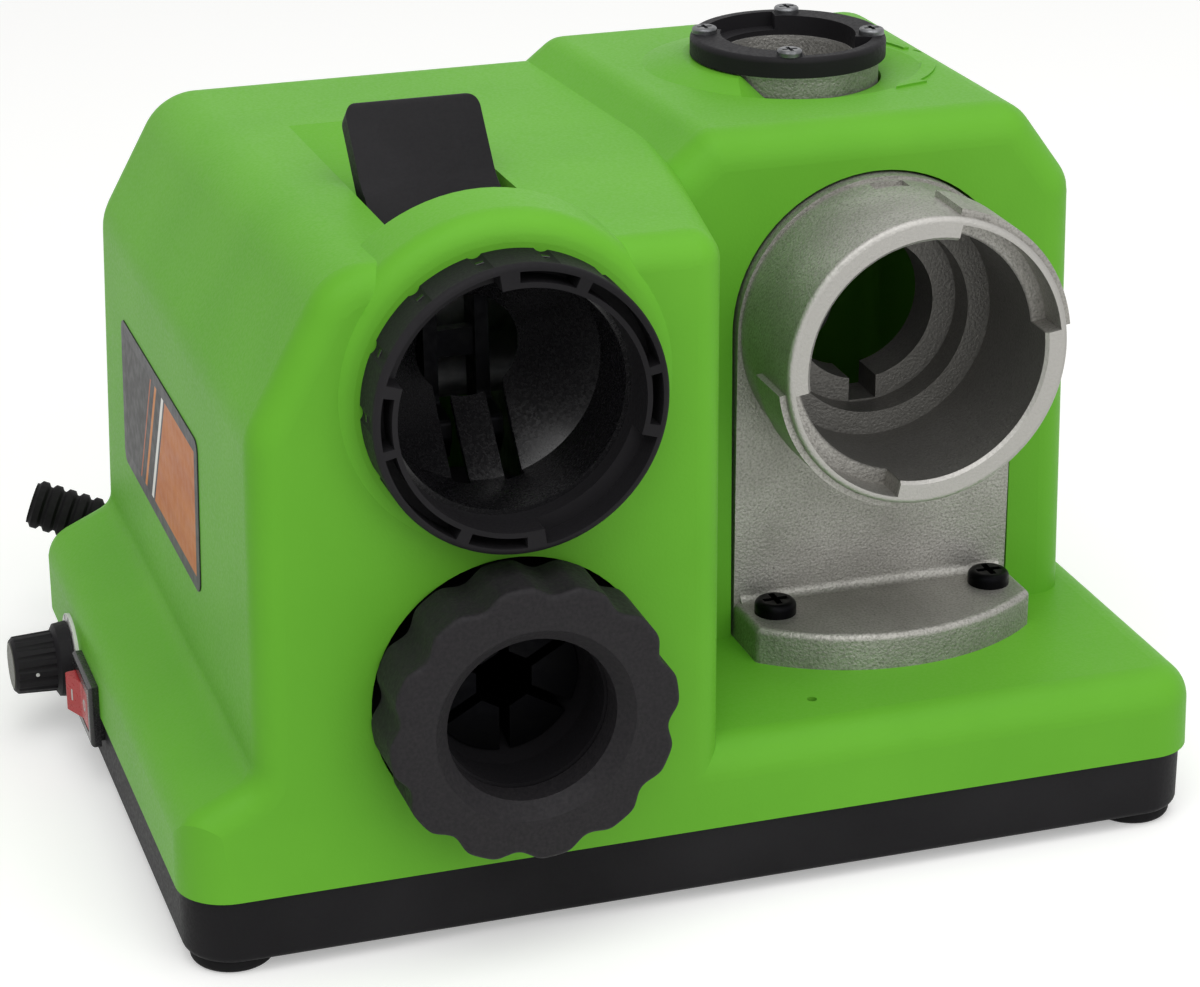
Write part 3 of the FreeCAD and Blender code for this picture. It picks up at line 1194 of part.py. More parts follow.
def grinding_port():
    def tube(radius, y0, y1):
        return rod(radius, V(GRIND_X, y0, GRIND_Z), BACK, y1 - y0)

    centre = (GRIND_X, GRIND_Z)
    left, right = GRIND_X - PLATE_HALF_W, GRIND_X + PLATE_HALF_W
    root_y = PLATE_Y + PLATE_T / 2
    barrel = tube(TUBE_R, TUBE_FRONT_Y, root_y)
    barrel = barrel.makeFillet(TUBE_EDGE_R, rim_at(barrel, BACK, TUBE_FRONT_Y))
    plate = box(left, right, PLATE_Y, PLATE_Y + PLATE_T, DECK_Z, GRIND_Z)
    corners = [V(right, FLANGE_END_Y, DECK_Z), V(right, root_y, DECK_Z), V(left, root_y, DECK_Z),
               V(left, FLANGE_END_Y, DECK_Z)]
    edges = [Part.makeLine(a, b) for a, b in zip(corners, corners[1:])]
    edges.append(Part.Arc(corners[3], V(GRIND_X, FLANGE_FRONT_Y, DECK_Z), corners[0]).toShape())
    flange = Part.Face(Part.Wire(edges)).extrude(UP * FLANGE_T)
    foot_top = DECK_Z + FLANGE_T
    flange = round_near(flange, FLANGE_CORNER_R, V(left, FLANGE_END_Y, DECK_Z + FLANGE_T / 2),
                        V(right, FLANGE_END_Y, DECK_Z + FLANGE_T / 2))
    brim = edges_where(flange, lambda e: e.BoundBox.ZMin > foot_top - 0.01
                       and e.BoundBox.YMin < root_y - 0.01)
    flange = flange.makeFillet(FLANGE_EDGE_R, brim)
    cove = box(left + FLANGE_EDGE_R, right - FLANGE_EDGE_R, PLATE_Y - FLANGE_COVE_R, root_y, foot_top - 1,
               foot_top + FLANGE_COVE_R)
    cove = cove.cut(rod(FLANGE_COVE_R, V(left, PLATE_Y - FLANGE_COVE_R, foot_top + FLANGE_COVE_R), RIGHT,
                        2 * PLATE_HALF_W))
    solid = barrel.fuse([plate, tube(PLATE_HALF_W, PLATE_Y, PLATE_Y + PLATE_T), flange, cove,
                         tube(TUBE_INNER_R, PLATE_Y, TUBE_INNER_Y)])
    bevel_r = TUBE_BORE_R + TUBE_RIM_BEVEL
    bevel = [(0, 0), (0, bevel_r), (TUBE_RIM_BEVEL, TUBE_BORE_R), (TUBE_RIM_BEVEL, 0)]
    notch_y = PLATE_Y - TUBE_EDGE_R
    bulges = []
    cuts = [
        tube(TUBE_BORE_R, TUBE_FRONT_Y - 1, TUBE_SHOULDER_Y),
        turned(bevel, V(GRIND_X, TUBE_FRONT_Y, GRIND_Z), BACK),
        tube(TUBE_STEP_R, TUBE_SHOULDER_Y - 1, TUBE_SHOULDER_Y + TUBE_STEP_L),
        tube(TUBE_HOLE_R, TUBE_SHOULDER_Y, TUBE_INNER_Y + 1),
        box(GRIND_X - KEYWAY_W / 2, GRIND_X + KEYWAY_W / 2, TUBE_SHOULDER_Y, TUBE_INNER_Y + 1,
            GRIND_Z - TUBE_HOLE_R - KEYWAY_DEPTH, GRIND_Z),
        box(GRIND_X - TOP_NOTCH_W / 2, GRIND_X + TOP_NOTCH_W / 2, notch_y - TOP_NOTCH_L, notch_y,
            GRIND_Z + TUBE_R - TOP_NOTCH_DEPTH, GRIND_Z + 2 * TUBE_R),
    ]
    for turn in (0, 180):
        bulges.append(sector("xz", centre, TUBE_R - 1.5, TUBE_R + TUBE_BULGE, TUBE_ENTRY_FROM + turn,
                             TUBE_ENTRY_TO + turn, TUBE_FRONT_Y + 2, TUBE_FRONT_Y + TUBE_BULGE_L))
        cuts.append(sector("xz", centre, TUBE_BORE_R - 1, TUBE_ENTRY_R, TUBE_ENTRY_FROM + turn,
                           TUBE_ENTRY_TO + turn, TUBE_FRONT_Y - 1, TUBE_FRONT_Y + TUBE_ENTRY_DEPTH))
    for dx in (-PORT_SCREW_X, PORT_SCREW_X):
        foot = V(GRIND_X + dx, PORT_SCREW_Y, DECK_Z - 1)
        cuts.append(rod(PORT_SCREW_R + SCREW_HOLE_PLAY, foot, UP, FLANGE_T + 2))
    return solid.fuse(bulges).removeSplitter().cut(cuts)


def port_screws():
    seat = DECK_Z + FLANGE_T
    return Part.makeCompound(
        [screw(PORT_SCREW_HEAD_R, PORT_SCREW_HEAD_H, PORT_SCREW_R, FLANGE_T + PORT_BOSS_H - 1,
               V(GRIND_X + dx, PORT_SCREW_Y, seat), DOWN) for dx in (-PORT_SCREW_X, PORT_SCREW_X)])


def split_screw_places():
    places = []
    for i in range(4):
        x, y = on_circle(SPLIT_SCREW_PCD_R, SPLIT_SCREW_FIRST + 90 * i)
        places.append((SPLIT_X + x, SPLIT_Y + y))
    return places


def split_port_tube():
    foot = SPLIT_SEAT_Z - SPLIT_FLANGE_T
    tail = foot - SPLIT_TUBE_TAIL
    profile = [
        (tail, SPLIT_TUBE_BORE_R), (tail, SPLIT_TUBE_R), (foot, SPLIT_TUBE_R), (foot, SPLIT_FLANGE_R),
        (SPLIT_SEAT_Z, SPLIT_FLANGE_R), (SPLIT_SEAT_Z, SPLIT_TUBE_R), (SPLIT_TUBE_TOP_Z, SPLIT_TUBE_R),
        (SPLIT_TUBE_TOP_Z, SPLIT_TUBE_BORE_R),
    ]
    solid = turned(profile, V(SPLIT_X, SPLIT_Y, 0), UP)
    drop = SPLIT_SCREW_L - SPLIT_RING_H + 0.5
    bite_r = SPLIT_SCREW_R + SCREW_BITE_PLAY
    return solid.cut([rod(bite_r, V(x, y, SPLIT_TUBE_TOP_Z - drop), UP, drop + 1)
                      for x, y in split_screw_places()])


def split_port_ring():
    start = V(SPLIT_X, SPLIT_Y, SPLIT_TUBE_TOP_Z)
    solid = rod(SPLIT_RING_R, start, UP, SPLIT_RING_H)
    solid = solid.makeFillet(SPLIT_RING_EDGE_R, rim_at(solid, UP, SPLIT_TOP_Z))
    cuts = [rod(SPLIT_RING_BORE_R, start - UP, UP, SPLIT_RING_H + 2)]
    for turn in (0, 180):
        cuts.append(sector("xy", (SPLIT_X, SPLIT_Y), SPLIT_RING_BORE_R - 1, SPLIT_ENTRY_R,
                           SPLIT_ENTRY_FROM + turn, SPLIT_ENTRY_TO + turn, SPLIT_TUBE_TOP_Z + SPLIT_LIP_H,
                           SPLIT_TOP_Z + 1))
    for x, y in split_screw_places():
        cuts.append(rod(SPLIT_SCREW_R + SCREW_HOLE_PLAY, V(x, y, SPLIT_TUBE_TOP_Z - 1), UP, SPLIT_RING_H + 2))
    return solid.cut(cuts)


def split_ring_screws():
    return Part.makeCompound(
        [screw(SPLIT_SCREW_HEAD_R, SPLIT_SCREW_HEAD_H, SPLIT_SCREW_R, SPLIT_SCREW_L,
               V(x, y, SPLIT_TOP_Z), DOWN)
         for x, y in split_screw_places()])


def motor_at(x):
    return V(x, MOTOR_Y, MOTOR_Z)


def motor_disc(radius, inner, x0, x1):
    return pipe(radius, inner, motor_at(x0), RIGHT, x1 - x0)


def stator_magnets():
    outer = CAN_R - CAN_WALL - MAGNET_GAP
    middle = (CAN_LEFT_X + CAN_RIGHT_X) / 2
    half = CORE_L / 2 + MAGNET_OVERHANG
    sweep = MAGNET_SWEEP / 2
    return Part.makeCompound(
        [sector("yz", (MOTOR_Y, MOTOR_Z), outer - MAGNET_T, outer, turn - sweep, turn + sweep,
                middle - half, middle + half) for turn in (0, 180)])


def motor_cap(x0, screws):
    solid = motor_disc(CAN_R, BEARING_R + PIN_PRESS_PLAY, x0, x0 + CAP_T)
    if not screws:
        return solid
    hole_r = MOTOR_SCREW_R + SCREW_BITE_PLAY
    return solid.cut([rod(hole_r, V(x0 - 1, y, z), RIGHT, CAP_T + 2) for y, z in motor_screw_places()])


def motor_screw_places():
    places = []
    for i in range(4):
        y, z = on_circle(MOTOR_SCREW_PCD_R, 45 + 90 * i)
        places.append((MOTOR_Y + y, MOTOR_Z + z))
    return places


def motor_shaft():
    return rod(SHAFT_R, motor_at(SHAFT_LEFT_X), RIGHT, SHAFT_RIGHT_X - SHAFT_LEFT_X)


def rotor_core():
    middle = (CAN_LEFT_X + CAN_RIGHT_X) / 2
    solid = motor_disc(CORE_R, SHAFT_R, middle - CORE_L / 2, middle + CORE_L / 2)
    slots = []
    for i in range(CORE_SLOTS):
        slot = box(middle - CORE_L, middle + CORE_L, MOTOR_Y - CORE_SLOT_W / 2, MOTOR_Y + CORE_SLOT_W / 2,
                   MOTOR_Z + CORE_R - CORE_SLOT_DEPTH, MOTOR_Z + CORE_R + 1)
        slot.rotate(motor_at(0), RIGHT, 360.0 / CORE_SLOTS * i)
        slots.append(slot)
    return solid.cut(slots)


def commutator():
    x0 = CAN_LEFT_X + COMMUTATOR_INSET
    return motor_disc(COMMUTATOR_R, SHAFT_R, x0, x0 + COMMUTATOR_L)


def brushes():
    middle = CAN_LEFT_X + COMMUTATOR_INSET + COMMUTATOR_L / 2
    reach = CAN_R - CAN_WALL - BRUSH_GAP
    half = BRUSH_W / 2
    pieces = []
    for side in (-1, 1):
        z0 = MOTOR_Z + side * (COMMUTATOR_R + BRUSH_GAP)
        z1 = MOTOR_Z + side * reach
        pieces.append(box(middle - half, middle + half, MOTOR_Y - half, MOTOR_Y + half,
                          min(z0, z1), max(z0, z1)))
    return Part.makeCompound(pieces)


def cooling_fan():
    x1 = CAN_RIGHT_X - FAN_INSET
    hub = motor_disc(FAN_HUB_R, SHAFT_R, x1 - FAN_L, x1)
    half = FAN_BLADE_T / 2
    root_z = MOTOR_Z + (SHAFT_R + FAN_HUB_R) / 2
    blades = []
    for i in range(FAN_BLADES):
        blade = box(x1 - FAN_L, x1, MOTOR_Y - half, MOTOR_Y + half, root_z, MOTOR_Z + FAN_R)
        blade.rotate(motor_at(x1), UP, FAN_BLADE_TWIST)
        blade.rotate(motor_at(x1), RIGHT, 360.0 / FAN_BLADES * i)
        blades.append(blade)
    core = rod(SHAFT_R, motor_at(x1 - 3 * FAN_L), RIGHT, 6 * FAN_L)
    return hub.fuse(blades).removeSplitter().cut(core)


def motor_bracket():
    x0 = CAN_RIGHT_X + CAP_T
    x1 = x0 + BRACKET_T
    top = MOTOR_Z + BRACKET_HALF_W
    side = [(MOTOR_Y - BRACKET_HALF_W, FLOOR_TOP_Z), (MOTOR_Y + BRACKET_HALF_W, FLOOR_TOP_Z),
            (MOTOR_Y + BRACKET_HALF_W, top), (MOTOR_Y - BRACKET_HALF_W, top)]
    plate = prism("yz", side, x0, x1, [0, 0, BRACKET_CORNER_R, BRACKET_CORNER_R])
    foot = box(x0, x1 + BRACKET_FOOT_L, MOTOR_Y - BRACKET_HALF_W, MOTOR_Y + BRACKET_HALF_W, FLOOR_TOP_Z,
               FLOOR_TOP_Z + BRACKET_T)
    cuts = [rod(BEARING_R - 1, motor_at(x0 - 1), RIGHT, BRACKET_T + 2)]
    for y, z in motor_screw_places():
        cuts.append(rod(MOTOR_SCREW_R + SCREW_HOLE_PLAY, V(x0 - 1, y, z), RIGHT, BRACKET_T + 2))
    for x, y in bracket_screw_places():
        cuts.append(rod(BRACKET_SCREW_R + SCREW_HOLE_PLAY, V(x, y, FLOOR_TOP_Z - 1), UP, BRACKET_T + 2))
    return plate.fuse(foot).removeSplitter().cut(cuts)


def motor_screws():
    seat_x = CAN_RIGHT_X + CAP_T + BRACKET_T
    length = BRACKET_T + 0.9 * CAP_T
    return Part.makeCompound(
        [screw(MOTOR_SCREW_HEAD_R, MOTOR_SCREW_HEAD_H, MOTOR_SCREW_R, length, V(seat_x, y, z), LEFT)
         for y, z in motor_screw_places()])


def bracket_screws():
    seat_z = FLOOR_TOP_Z + BRACKET_T
    length = BRACKET_T + 0.9 * BASE_FLOOR
    return Part.makeCompound(
        [screw(BRACKET_SCREW_HEAD_R, BRACKET_SCREW_HEAD_H, BRACKET_SCREW_R, length, V(x, y, seat_z), DOWN)
         for x, y in bracket_screw_places()])


def grinding_wheel():
    rim = WHEEL_LEFT_X + WHEEL_RIM_L
    face = rim + WHEEL_BEVEL_L
    small_r = WHEEL_R - WHEEL_BEVEL_L * math.tan(WHEEL_BEVEL)
    profile = [
        (WHEEL_LEFT_X, HUB_SLEEVE_R), (WHEEL_LEFT_X, WHEEL_R), (rim, WHEEL_R), (face, small_r),
        (face, HUB_SLEEVE_R),
    ]
    return turned(profile, motor_at(0), RIGHT)


def wheel_hub():
    face = WHEEL_LEFT_X + WHEEL_RIM_L + WHEEL_BEVEL_L
    profile = [(WHEEL_LEFT_X - HUB_L, SHAFT_R), (WHEEL_LEFT_X - HUB_L, HUB_R), (WHEEL_LEFT_X, HUB_R),
               (WHEEL_LEFT_X, HUB_SLEEVE_R), (face, HUB_SLEEVE_R), (face, SHAFT_R)]
    return turned(profile, motor_at(0), RIGHT)


def hexagon(radius, start, along, length, bore):
    """Six-sided nut, with its corners on a circle."""
    side = UP if abs(along.z) < 0.5 else RIGHT
    other = along.cross(side)
    points = []
    for i in range(6):
        u, v = on_circle(radius, 60 * i)
        points.append(start + side * u + other * v)
    solid = Part.Face(Part.makePolygon(points + points[:1])).extrude(along * length)
    return solid.cut(rod(bore, start - along, along, length + 2))


def wheel_nut():
    face = WHEEL_LEFT_X + WHEEL_RIM_L + WHEEL_BEVEL_L
    washer = motor_disc(HUB_R, SHAFT_R, face, face + WASHER_T)
    nut = hexagon(NUT_R, motor_at(face + WASHER_T), RIGHT, NUT_L, SHAFT_R)
    return washer.fuse(nut).removeSplitter()


def switch_box(x0, x1, half_w, half_h):
    return box(x0, x1, SWITCH_Y - half_w, SWITCH_Y + half_w, SEAM_Z - half_h, SEAM_Z + half_h)


def rocker_pivot():
    return V(-HALF_L + ROCKER_PIVOT_DEPTH, SWITCH_Y, SEAM_Z)


def switch_housing():
    front_x = -HALF_L - SWITCH_BEZEL_T
    bezel = switch_box(front_x, -HALF_L, SWITCH_BEZEL_W / 2, SWITCH_BEZEL_H / 2)
    rim = edges_where(bezel, lambda e: max(v.X for v in e.Vertexes) < front_x + 0.01)
    bezel = bezel.makeFillet(SWITCH_BEZEL_R, rim)
    root_x = -HALF_L - SWITCH_BEZEL_T / 4
    body = switch_box(root_x, -HALF_L + SWITCH_BODY_L, SWITCH_BODY_W / 2, SWITCH_BODY_H / 2)
    half_w = SWITCH_BODY_W / 2 - SWITCH_WALL
    half_h = ROCKER_H / 2 + ROCKER_PLAY
    reach = half_h + ROCKER_PIN_REACH
    cuts = [
        switch_box(front_x - 1, -HALF_L + SWITCH_BODY_L - SWITCH_BACK_T, half_w, half_h),
        rod(ROCKER_PIN_R + ROCKER_PIN_PLAY, rocker_pivot() - UP * reach, UP, 2 * reach),
    ]
    return bezel.fuse(body).removeSplitter().cut(cuts)


def switch_rocker():
    """Rocker with its front wing pressed in; the hinge runs upright."""
    pivot = rocker_pivot()
    half = ROCKER_W / 2
    rise = half * math.tan(math.radians(ROCKER_TILT))
    proud = ROCKER_PIVOT_DEPTH + SWITCH_BEZEL_T
    front = [
        (-proud, 0), (-proud - rise, -half), (ROCKER_SKIRT, -half), (ROCKER_HEEL, -half + ROCKER_BEVEL),
        (ROCKER_HEEL, half - ROCKER_BEVEL), (ROCKER_SKIRT, half), (-proud - rise, half),
    ]
    points = [(pivot.x + x, pivot.y + y) for x, y in front]
    z0 = SEAM_Z - ROCKER_H / 2
    radii = [ROCKER_VALLEY_R, ROCKER_EDGE_R, 0, 0, 0, 0, ROCKER_EDGE_R]
    solid = prism("xy", points, z0, z0 + ROCKER_H, radii)
    pin_foot = V(pivot.x, pivot.y, z0 - ROCKER_PIN_REACH)
    pin = rod(ROCKER_PIN_R, pin_foot, UP, ROCKER_H + 2 * ROCKER_PIN_REACH)
    solid = solid.fuse(pin).removeSplitter()
    solid.rotate(pivot, UP, ROCKER_TILT)
    return solid


def speed_at(x):
    return V(x, SPEED_Y, SEAM_Z)


def dial_plate():
    return pipe(DIAL_R, POT_BUSH_R + SCREW_BITE_PLAY, speed_at(-HALF_L - DIAL_T), RIGHT, DIAL_T)


def speed_knob():
    length = SPEED_KNOB_L
    nut_l = POT_NUT_T + POT_NUT_PLAY
    nut_r = POT_NUT_R + POT_NUT_PLAY
    neck = SPEED_KNOB_FOOT_L + SPEED_KNOB_BEVEL
    end = length - SPEED_KNOB_END_T
    profile = [
        (0, nut_r), (0, SPEED_KNOB_FOOT_R), (SPEED_KNOB_FOOT_L, SPEED_KNOB_FOOT_R - SPEED_KNOB_BEVEL / 2),
        (neck, SPEED_KNOB_R + SPEED_KNOB_BEVEL / 2), (length - SPEED_KNOB_BEVEL, SPEED_KNOB_R),
        (length, SPEED_KNOB_R - SPEED_KNOB_BEVEL), (length, 0), (end, 0), (end, POT_SHAFT_R),
        (nut_l, POT_SHAFT_R), (nut_l, nut_r),
    ]
    solid = turned(profile, speed_at(SPEED_KNOB_BACK_X), LEFT)
    flutes = []
    for i in range(SPEED_KNOB_FLUTES):
        y, z = on_circle(SPEED_KNOB_R + SPEED_KNOB_BEVEL, 360.0 / SPEED_KNOB_FLUTES * (i + 0.5))
        start = V(SPEED_KNOB_BACK_X - neck, SPEED_Y + y, SEAM_Z + z)
        flutes.append(rod(SPEED_KNOB_FLUTE_R, start, LEFT, length))
    return solid.cut(flutes)


def pot_front_x():
    return -HALF_L + BASE_SETBACK + BASE_WALL


def speed_shaft():
    start = SPEED_KNOB_END_X + SPEED_KNOB_END_T
    return rod(POT_SHAFT_R, speed_at(start), RIGHT, pot_front_x() + POT_L - POT_BACK_T - start)


def speed_pot():
    front = pot_front_x()
    nose = -HALF_L - DIAL_T - POT_NUT_T
    body = rod(POT_R, speed_at(front), RIGHT, POT_L)
    bush = rod(POT_BUSH_R, speed_at(nose), RIGHT, front - nose + 1)
    end = front + POT_L - 0.75 * POT_BACK_T
    bore = rod(POT_SHAFT_R + POT_SHAFT_PLAY, speed_at(nose - 1), RIGHT, end - nose + 1)
    return body.fuse(bush).removeSplitter().cut(bore)


def pot_nut():
    return hexagon(POT_NUT_R, speed_at(-HALF_L - DIAL_T), LEFT, 0.9 * POT_NUT_T, POT_BUSH_R)


def side_label():
    """Thin plate on the leaning left side, bare of any text."""
    up_slope = math.hypot(FLANK_LEAN, SHOULDER_Z - FLANK_FOOT_Z)
    rise = up_slope / (SHOULDER_Z - FLANK_FOOT_Z)
    s0 = (LABEL_Z0 - FLANK_FOOT_Z) * rise
    s1 = (LABEL_Z1 - FLANK_FOOT_Z) * rise
    corners = [(LABEL_Y0, s0), (LABEL_Y1, s0), (LABEL_Y1, s1), (LABEL_Y0, s1)]
    plate = prism("yz", corners, -LABEL_T, 0, [LABEL_CORNER_R] * 4)
    plate.rotate(V(0, 0, 0), BACK, math.degrees(math.atan2(FLANK_LEAN, SHOULDER_Z - FLANK_FOOT_Z)))
    plate.translate(V(FLANK_X, 0, FLANK_FOOT_Z))
    return plate


def cord_gland():
    rear = HALF_W
    inside = 3 * WALL
    plug = rod(GLAND_R - GLAND_PLAY / 2, V(GLAND_X, rear - inside, GLAND_Z), BACK, inside + 1)
    flange = rod(GLAND_FLANGE_R, V(GLAND_X, rear - WALL / 2, GLAND_Z), BACK, GLAND_FLANGE_T + WALL / 2)
    flange = flange.makeFillet(GLAND_EDGE_R, rim_at(flange, BACK, rear + GLAND_FLANGE_T))
    flange = flange.cut(left_block(0.0, SEAM_Z))
    neck = rod(GLAND_R - 2 * GLAND_PLAY, V(GLAND_X, rear, GLAND_Z), BACK, GLAND_NECK_L)
    elbow = Part.makeSphere(GLAND_R + GLAND_PLAY, GLAND_ELBOW)
    small = GLAND_R - GLAND_RIB_DEPTH
    bore_end = GLAND_L - GLAND_BORE_L
    profile = [(0, 0), (0, small)]
    for i in range(GLAND_RIBS):
        rib = GLAND_FIRST_RIB + GLAND_RIB_PITCH * i
        for share, radius in ((0, small), (0.2, GLAND_R), (0.65, GLAND_R), (0.85, small)):
            profile.append((rib + share * GLAND_RIB_PITCH, radius))
    profile += [(GLAND_L, small), (GLAND_L, GLAND_BORE_R), (bore_end, GLAND_BORE_R), (bore_end, 0)]
    sleeve = turned(profile, GLAND_ELBOW, GLAND_DIRECTION)
    return flange.fuse([plug, neck, elbow, sleeve]).removeSplitter()


def control_board():
    half_l, half_w = BOARD_L / 2, BOARD_W / 2
    z0 = FLOOR_TOP_Z + BOARD_POST_H
    on_top = z0 + 0.9 * BOARD_T
    board = box(GRIND_X - half_l, GRIND_X + half_l, MOTOR_Y - half_w, MOTOR_Y + half_w, z0, z0 + BOARD_T)
    pieces = []
    for dx in (BOARD_POST_R - half_l, half_l - BOARD_POST_R):
        for dy in (BOARD_POST_R - half_w, half_w - BOARD_POST_R):
            foot = V(GRIND_X + dx, MOTOR_Y + dy, FLOOR_TOP_Z)
            pieces.append(rod(BOARD_POST_R, foot, UP, BOARD_POST_H + BOARD_T / 2))
    pieces.append(rod(CAPACITOR_R, V(GRIND_X - half_l / 2, MOTOR_Y, on_top), UP, CAPACITOR_H))
    sink_w = HEAT_SINK_L / 2
    pieces.append(box(GRIND_X, GRIND_X + HEAT_SINK_L, MOTOR_Y - sink_w, MOTOR_Y + sink_w, on_top,
                      on_top + HEAT_SINK_H))
    return board.fuse(pieces).removeSplitter()


def make_parts():
    parts = {
        "base_tray": base_tray(),
        "rubber_feet": rubber_feet(),
        "base_screws": base_screws(),
        "housing_shell": housing_shell(),
        "side_label": side_label(),
        "cord_gland": cord_gland(),
        "setting_ring": setting_ring(),
        "setting_cup": setting_cup(),
        "alignment_lever": alignment_lever(),
        "alignment_fork": alignment_fork(),
        "lever_pin": lever_pin(),
        "lever_spring": lever_spring(),
        "storage_socket": storage_socket(),
        "chuck_knob": chuck_knob(),
        "chuck_body": chuck_body(),
        "grinding_port": grinding_port(),
        "port_screws": port_screws(),
        "split_port_tube": split_port_tube(),
        "split_port_ring": split_port_ring(),
        "split_ring_screws": split_ring_screws(),
        "motor_can": motor_disc(CAN_R, CAN_R - CAN_WALL, CAN_LEFT_X, CAN_RIGHT_X),
        "stator_magnets": stator_magnets(),
        "motor_front_cap": motor_cap(CAN_RIGHT_X, True),
        "motor_rear_cap": motor_cap(CAN_LEFT_X - CAP_T, False),
        "motor_shaft": motor_shaft(),
        "rotor_core": rotor_core(),
        "commutator": commutator(),
        "brushes": brushes(),
        "front_bearing": motor_disc(BEARING_R, SHAFT_R + SHAFT_PLAY, CAN_RIGHT_X, CAN_RIGHT_X + CAP_T),
        "rear_bearing": motor_disc(BEARING_R, SHAFT_R + SHAFT_PLAY, CAN_LEFT_X - CAP_T, CAN_LEFT_X),
        "cooling_fan": cooling_fan(),
        "motor_bracket": motor_bracket(),
        "motor_screws": motor_screws(),
        "bracket_screws": bracket_screws(),
        "grinding_wheel": grinding_wheel(),
        "wheel_hub": wheel_hub(),
        "wheel_nut": wheel_nut(),
        "switch_housing": switch_housing(),
        "switch_rocker": switch_rocker(),
        "dial_plate": dial_plate(),
        "speed_knob": speed_knob(),
        "speed_shaft": speed_shaft(),
        "speed_pot": speed_pot(),
        "pot_nut": pot_nut(),
        "control_board": control_board(),
    }
    for i in range(JAW_COUNT):
        parts["collet_jaw_" + str(i + 1)] = collet_jaw(i)
    return parts


def main():
    os.makedirs("parts", exist_ok=True)
    for name, shape in make_parts().items():
        shape.translate(V(-ORIGIN_X, -ORIGIN_Y, 0))
        print(name, len(shape.Solids), shape.isValid(), round(shape.Volume))
        shape.exportStep("parts/" + name + ".step")


main()
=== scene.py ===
"""Looks of the bench-top drill bit sharpener: a finish for every part, small printed and moulded details,
a plain pale studio and the camera. Metres, in the frame of the parts.
"""
import bmesh
import bpy
import math
from mathutils import Matrix, Vector
from mathutils.bvhtree import BVHTree


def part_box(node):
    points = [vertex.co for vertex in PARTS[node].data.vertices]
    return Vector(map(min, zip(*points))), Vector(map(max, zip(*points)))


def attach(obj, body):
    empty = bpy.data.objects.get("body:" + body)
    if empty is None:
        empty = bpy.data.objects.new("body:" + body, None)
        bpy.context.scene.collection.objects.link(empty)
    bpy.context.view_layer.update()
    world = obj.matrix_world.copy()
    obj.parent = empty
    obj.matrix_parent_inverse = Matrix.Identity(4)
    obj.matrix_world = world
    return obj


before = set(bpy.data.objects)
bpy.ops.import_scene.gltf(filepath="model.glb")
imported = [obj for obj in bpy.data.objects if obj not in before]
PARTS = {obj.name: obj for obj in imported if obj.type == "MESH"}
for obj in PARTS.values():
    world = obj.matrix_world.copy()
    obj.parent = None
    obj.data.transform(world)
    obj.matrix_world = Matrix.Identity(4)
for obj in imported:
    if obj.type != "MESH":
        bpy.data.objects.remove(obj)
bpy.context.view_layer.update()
MM = 0.001

# Camera, fitted to the photograph
IMAGE_WIDTH_PX = 1200
FOCAL_PX = 3424.76
SENSOR_MM = 36.0
CAMERA_MM = (-218.90, -693.63, 363.51)
PITCH_DEG = 22.5216
YAW_DEG = 18.2423
ROLL_DEG = -0.0813

# Axes and bores of the two castings, in millimetres, and how much painted shade darkens each bore
PORT_CENTRE_MM = (63.05, 0.0, 108.9)
PORT_BORE_MM = 27.3
PORT_BORE_SHADE = 0.75
SPLIT_CENTRE_MM = (63.05, 23.14, 0.0)
SPLIT_BORE_MM = 15.2
SPLIT_BORE_SHADE = 0.1
BORE_FADE_MM = (0.5, 0.1)
RIM_FADE_MM = (0.9, 0.6)

# Sizes of surface patterns, in millimetres
FLOW_MARK_MM = 55.0
SKIN_MM = 0.7
SKIN_DEPTH_MM = 0.03
PLATE_CLOUD_MM = 6.0
PLATE_FLECK_MM = 1.5
TURNED_LINE_MM = 0.5
TURNED_RUN_MM = 14.0
CAST_CLOUD_MM = 18.0
CAST_SPECK_MM = 0.55
CAST_PEBBLE_MM = 0.65
GRIT_MM = 0.9
SHEET_WAVE_MM = 3.0
FILM_SHEEN_MM = 2.5
FILM_STREAK_MM = (60.0, 5.0)

# How much glossier and duller than its mean a surface gets, and the refractive index of plastic
MOULDED_GLOSS = (-0.05, 0.07)
PLATED_GLOSS = (-0.06, 0.1)
PLASTIC_IOR = 1.53

# Raised direction marks on the roof, round the split port's axis, in millimetres and degrees
ARROW_BAND_MM = (30.8, 34.1)
ARROW_BAND_DEG = (-20.0, -50.0)
ARROW_STEPS = 18
ARROW_HEAD_W_MM = 7.0
ARROW_HEAD_L_MM = 8.4
ARROW_HEAD_CUTS = 4
ARC_BAND_MM = (30.9, 32.3)
ARC_BAND_DEG = (7.0, 22.0)
ARC_STEPS = 10
MARK_SINK_MM = 0.4
MARK_PROUD_MM = 0.5

# Print on the controls, in millimetres and degrees; the ring's hole and the discs' softening are shares
ROCKER_MARK_Y_MM = 3.3
ROCKER_BAR_MM = (0.5, 2.8, 0.16)
ROCKER_BAR_SOFT_MM = 0.05
ROCKER_RING_R_MM = 1.4
ROCKER_RING_HOLE = 0.62
ROCKER_RING_STEPS = 32
KNOB_CAP_R_MM = 5.4
KNOB_CAP_H_MM = 0.2
KNOB_DOT_R_MM = 0.45
KNOB_DOT_H_MM = 0.15
KNOB_DOT_BACK_MM = 5.0
DISC_STEPS = 48
DISC_SOFT = 0.4
DIAL_LINES = 11
DIAL_SWEEP_DEG = 300.0
DIAL_LINE_MM = (0.12, 0.35, 1.2)
DIAL_LINE_SOFT_MM = 0.02
DIAL_EDGE_MM = 0.8
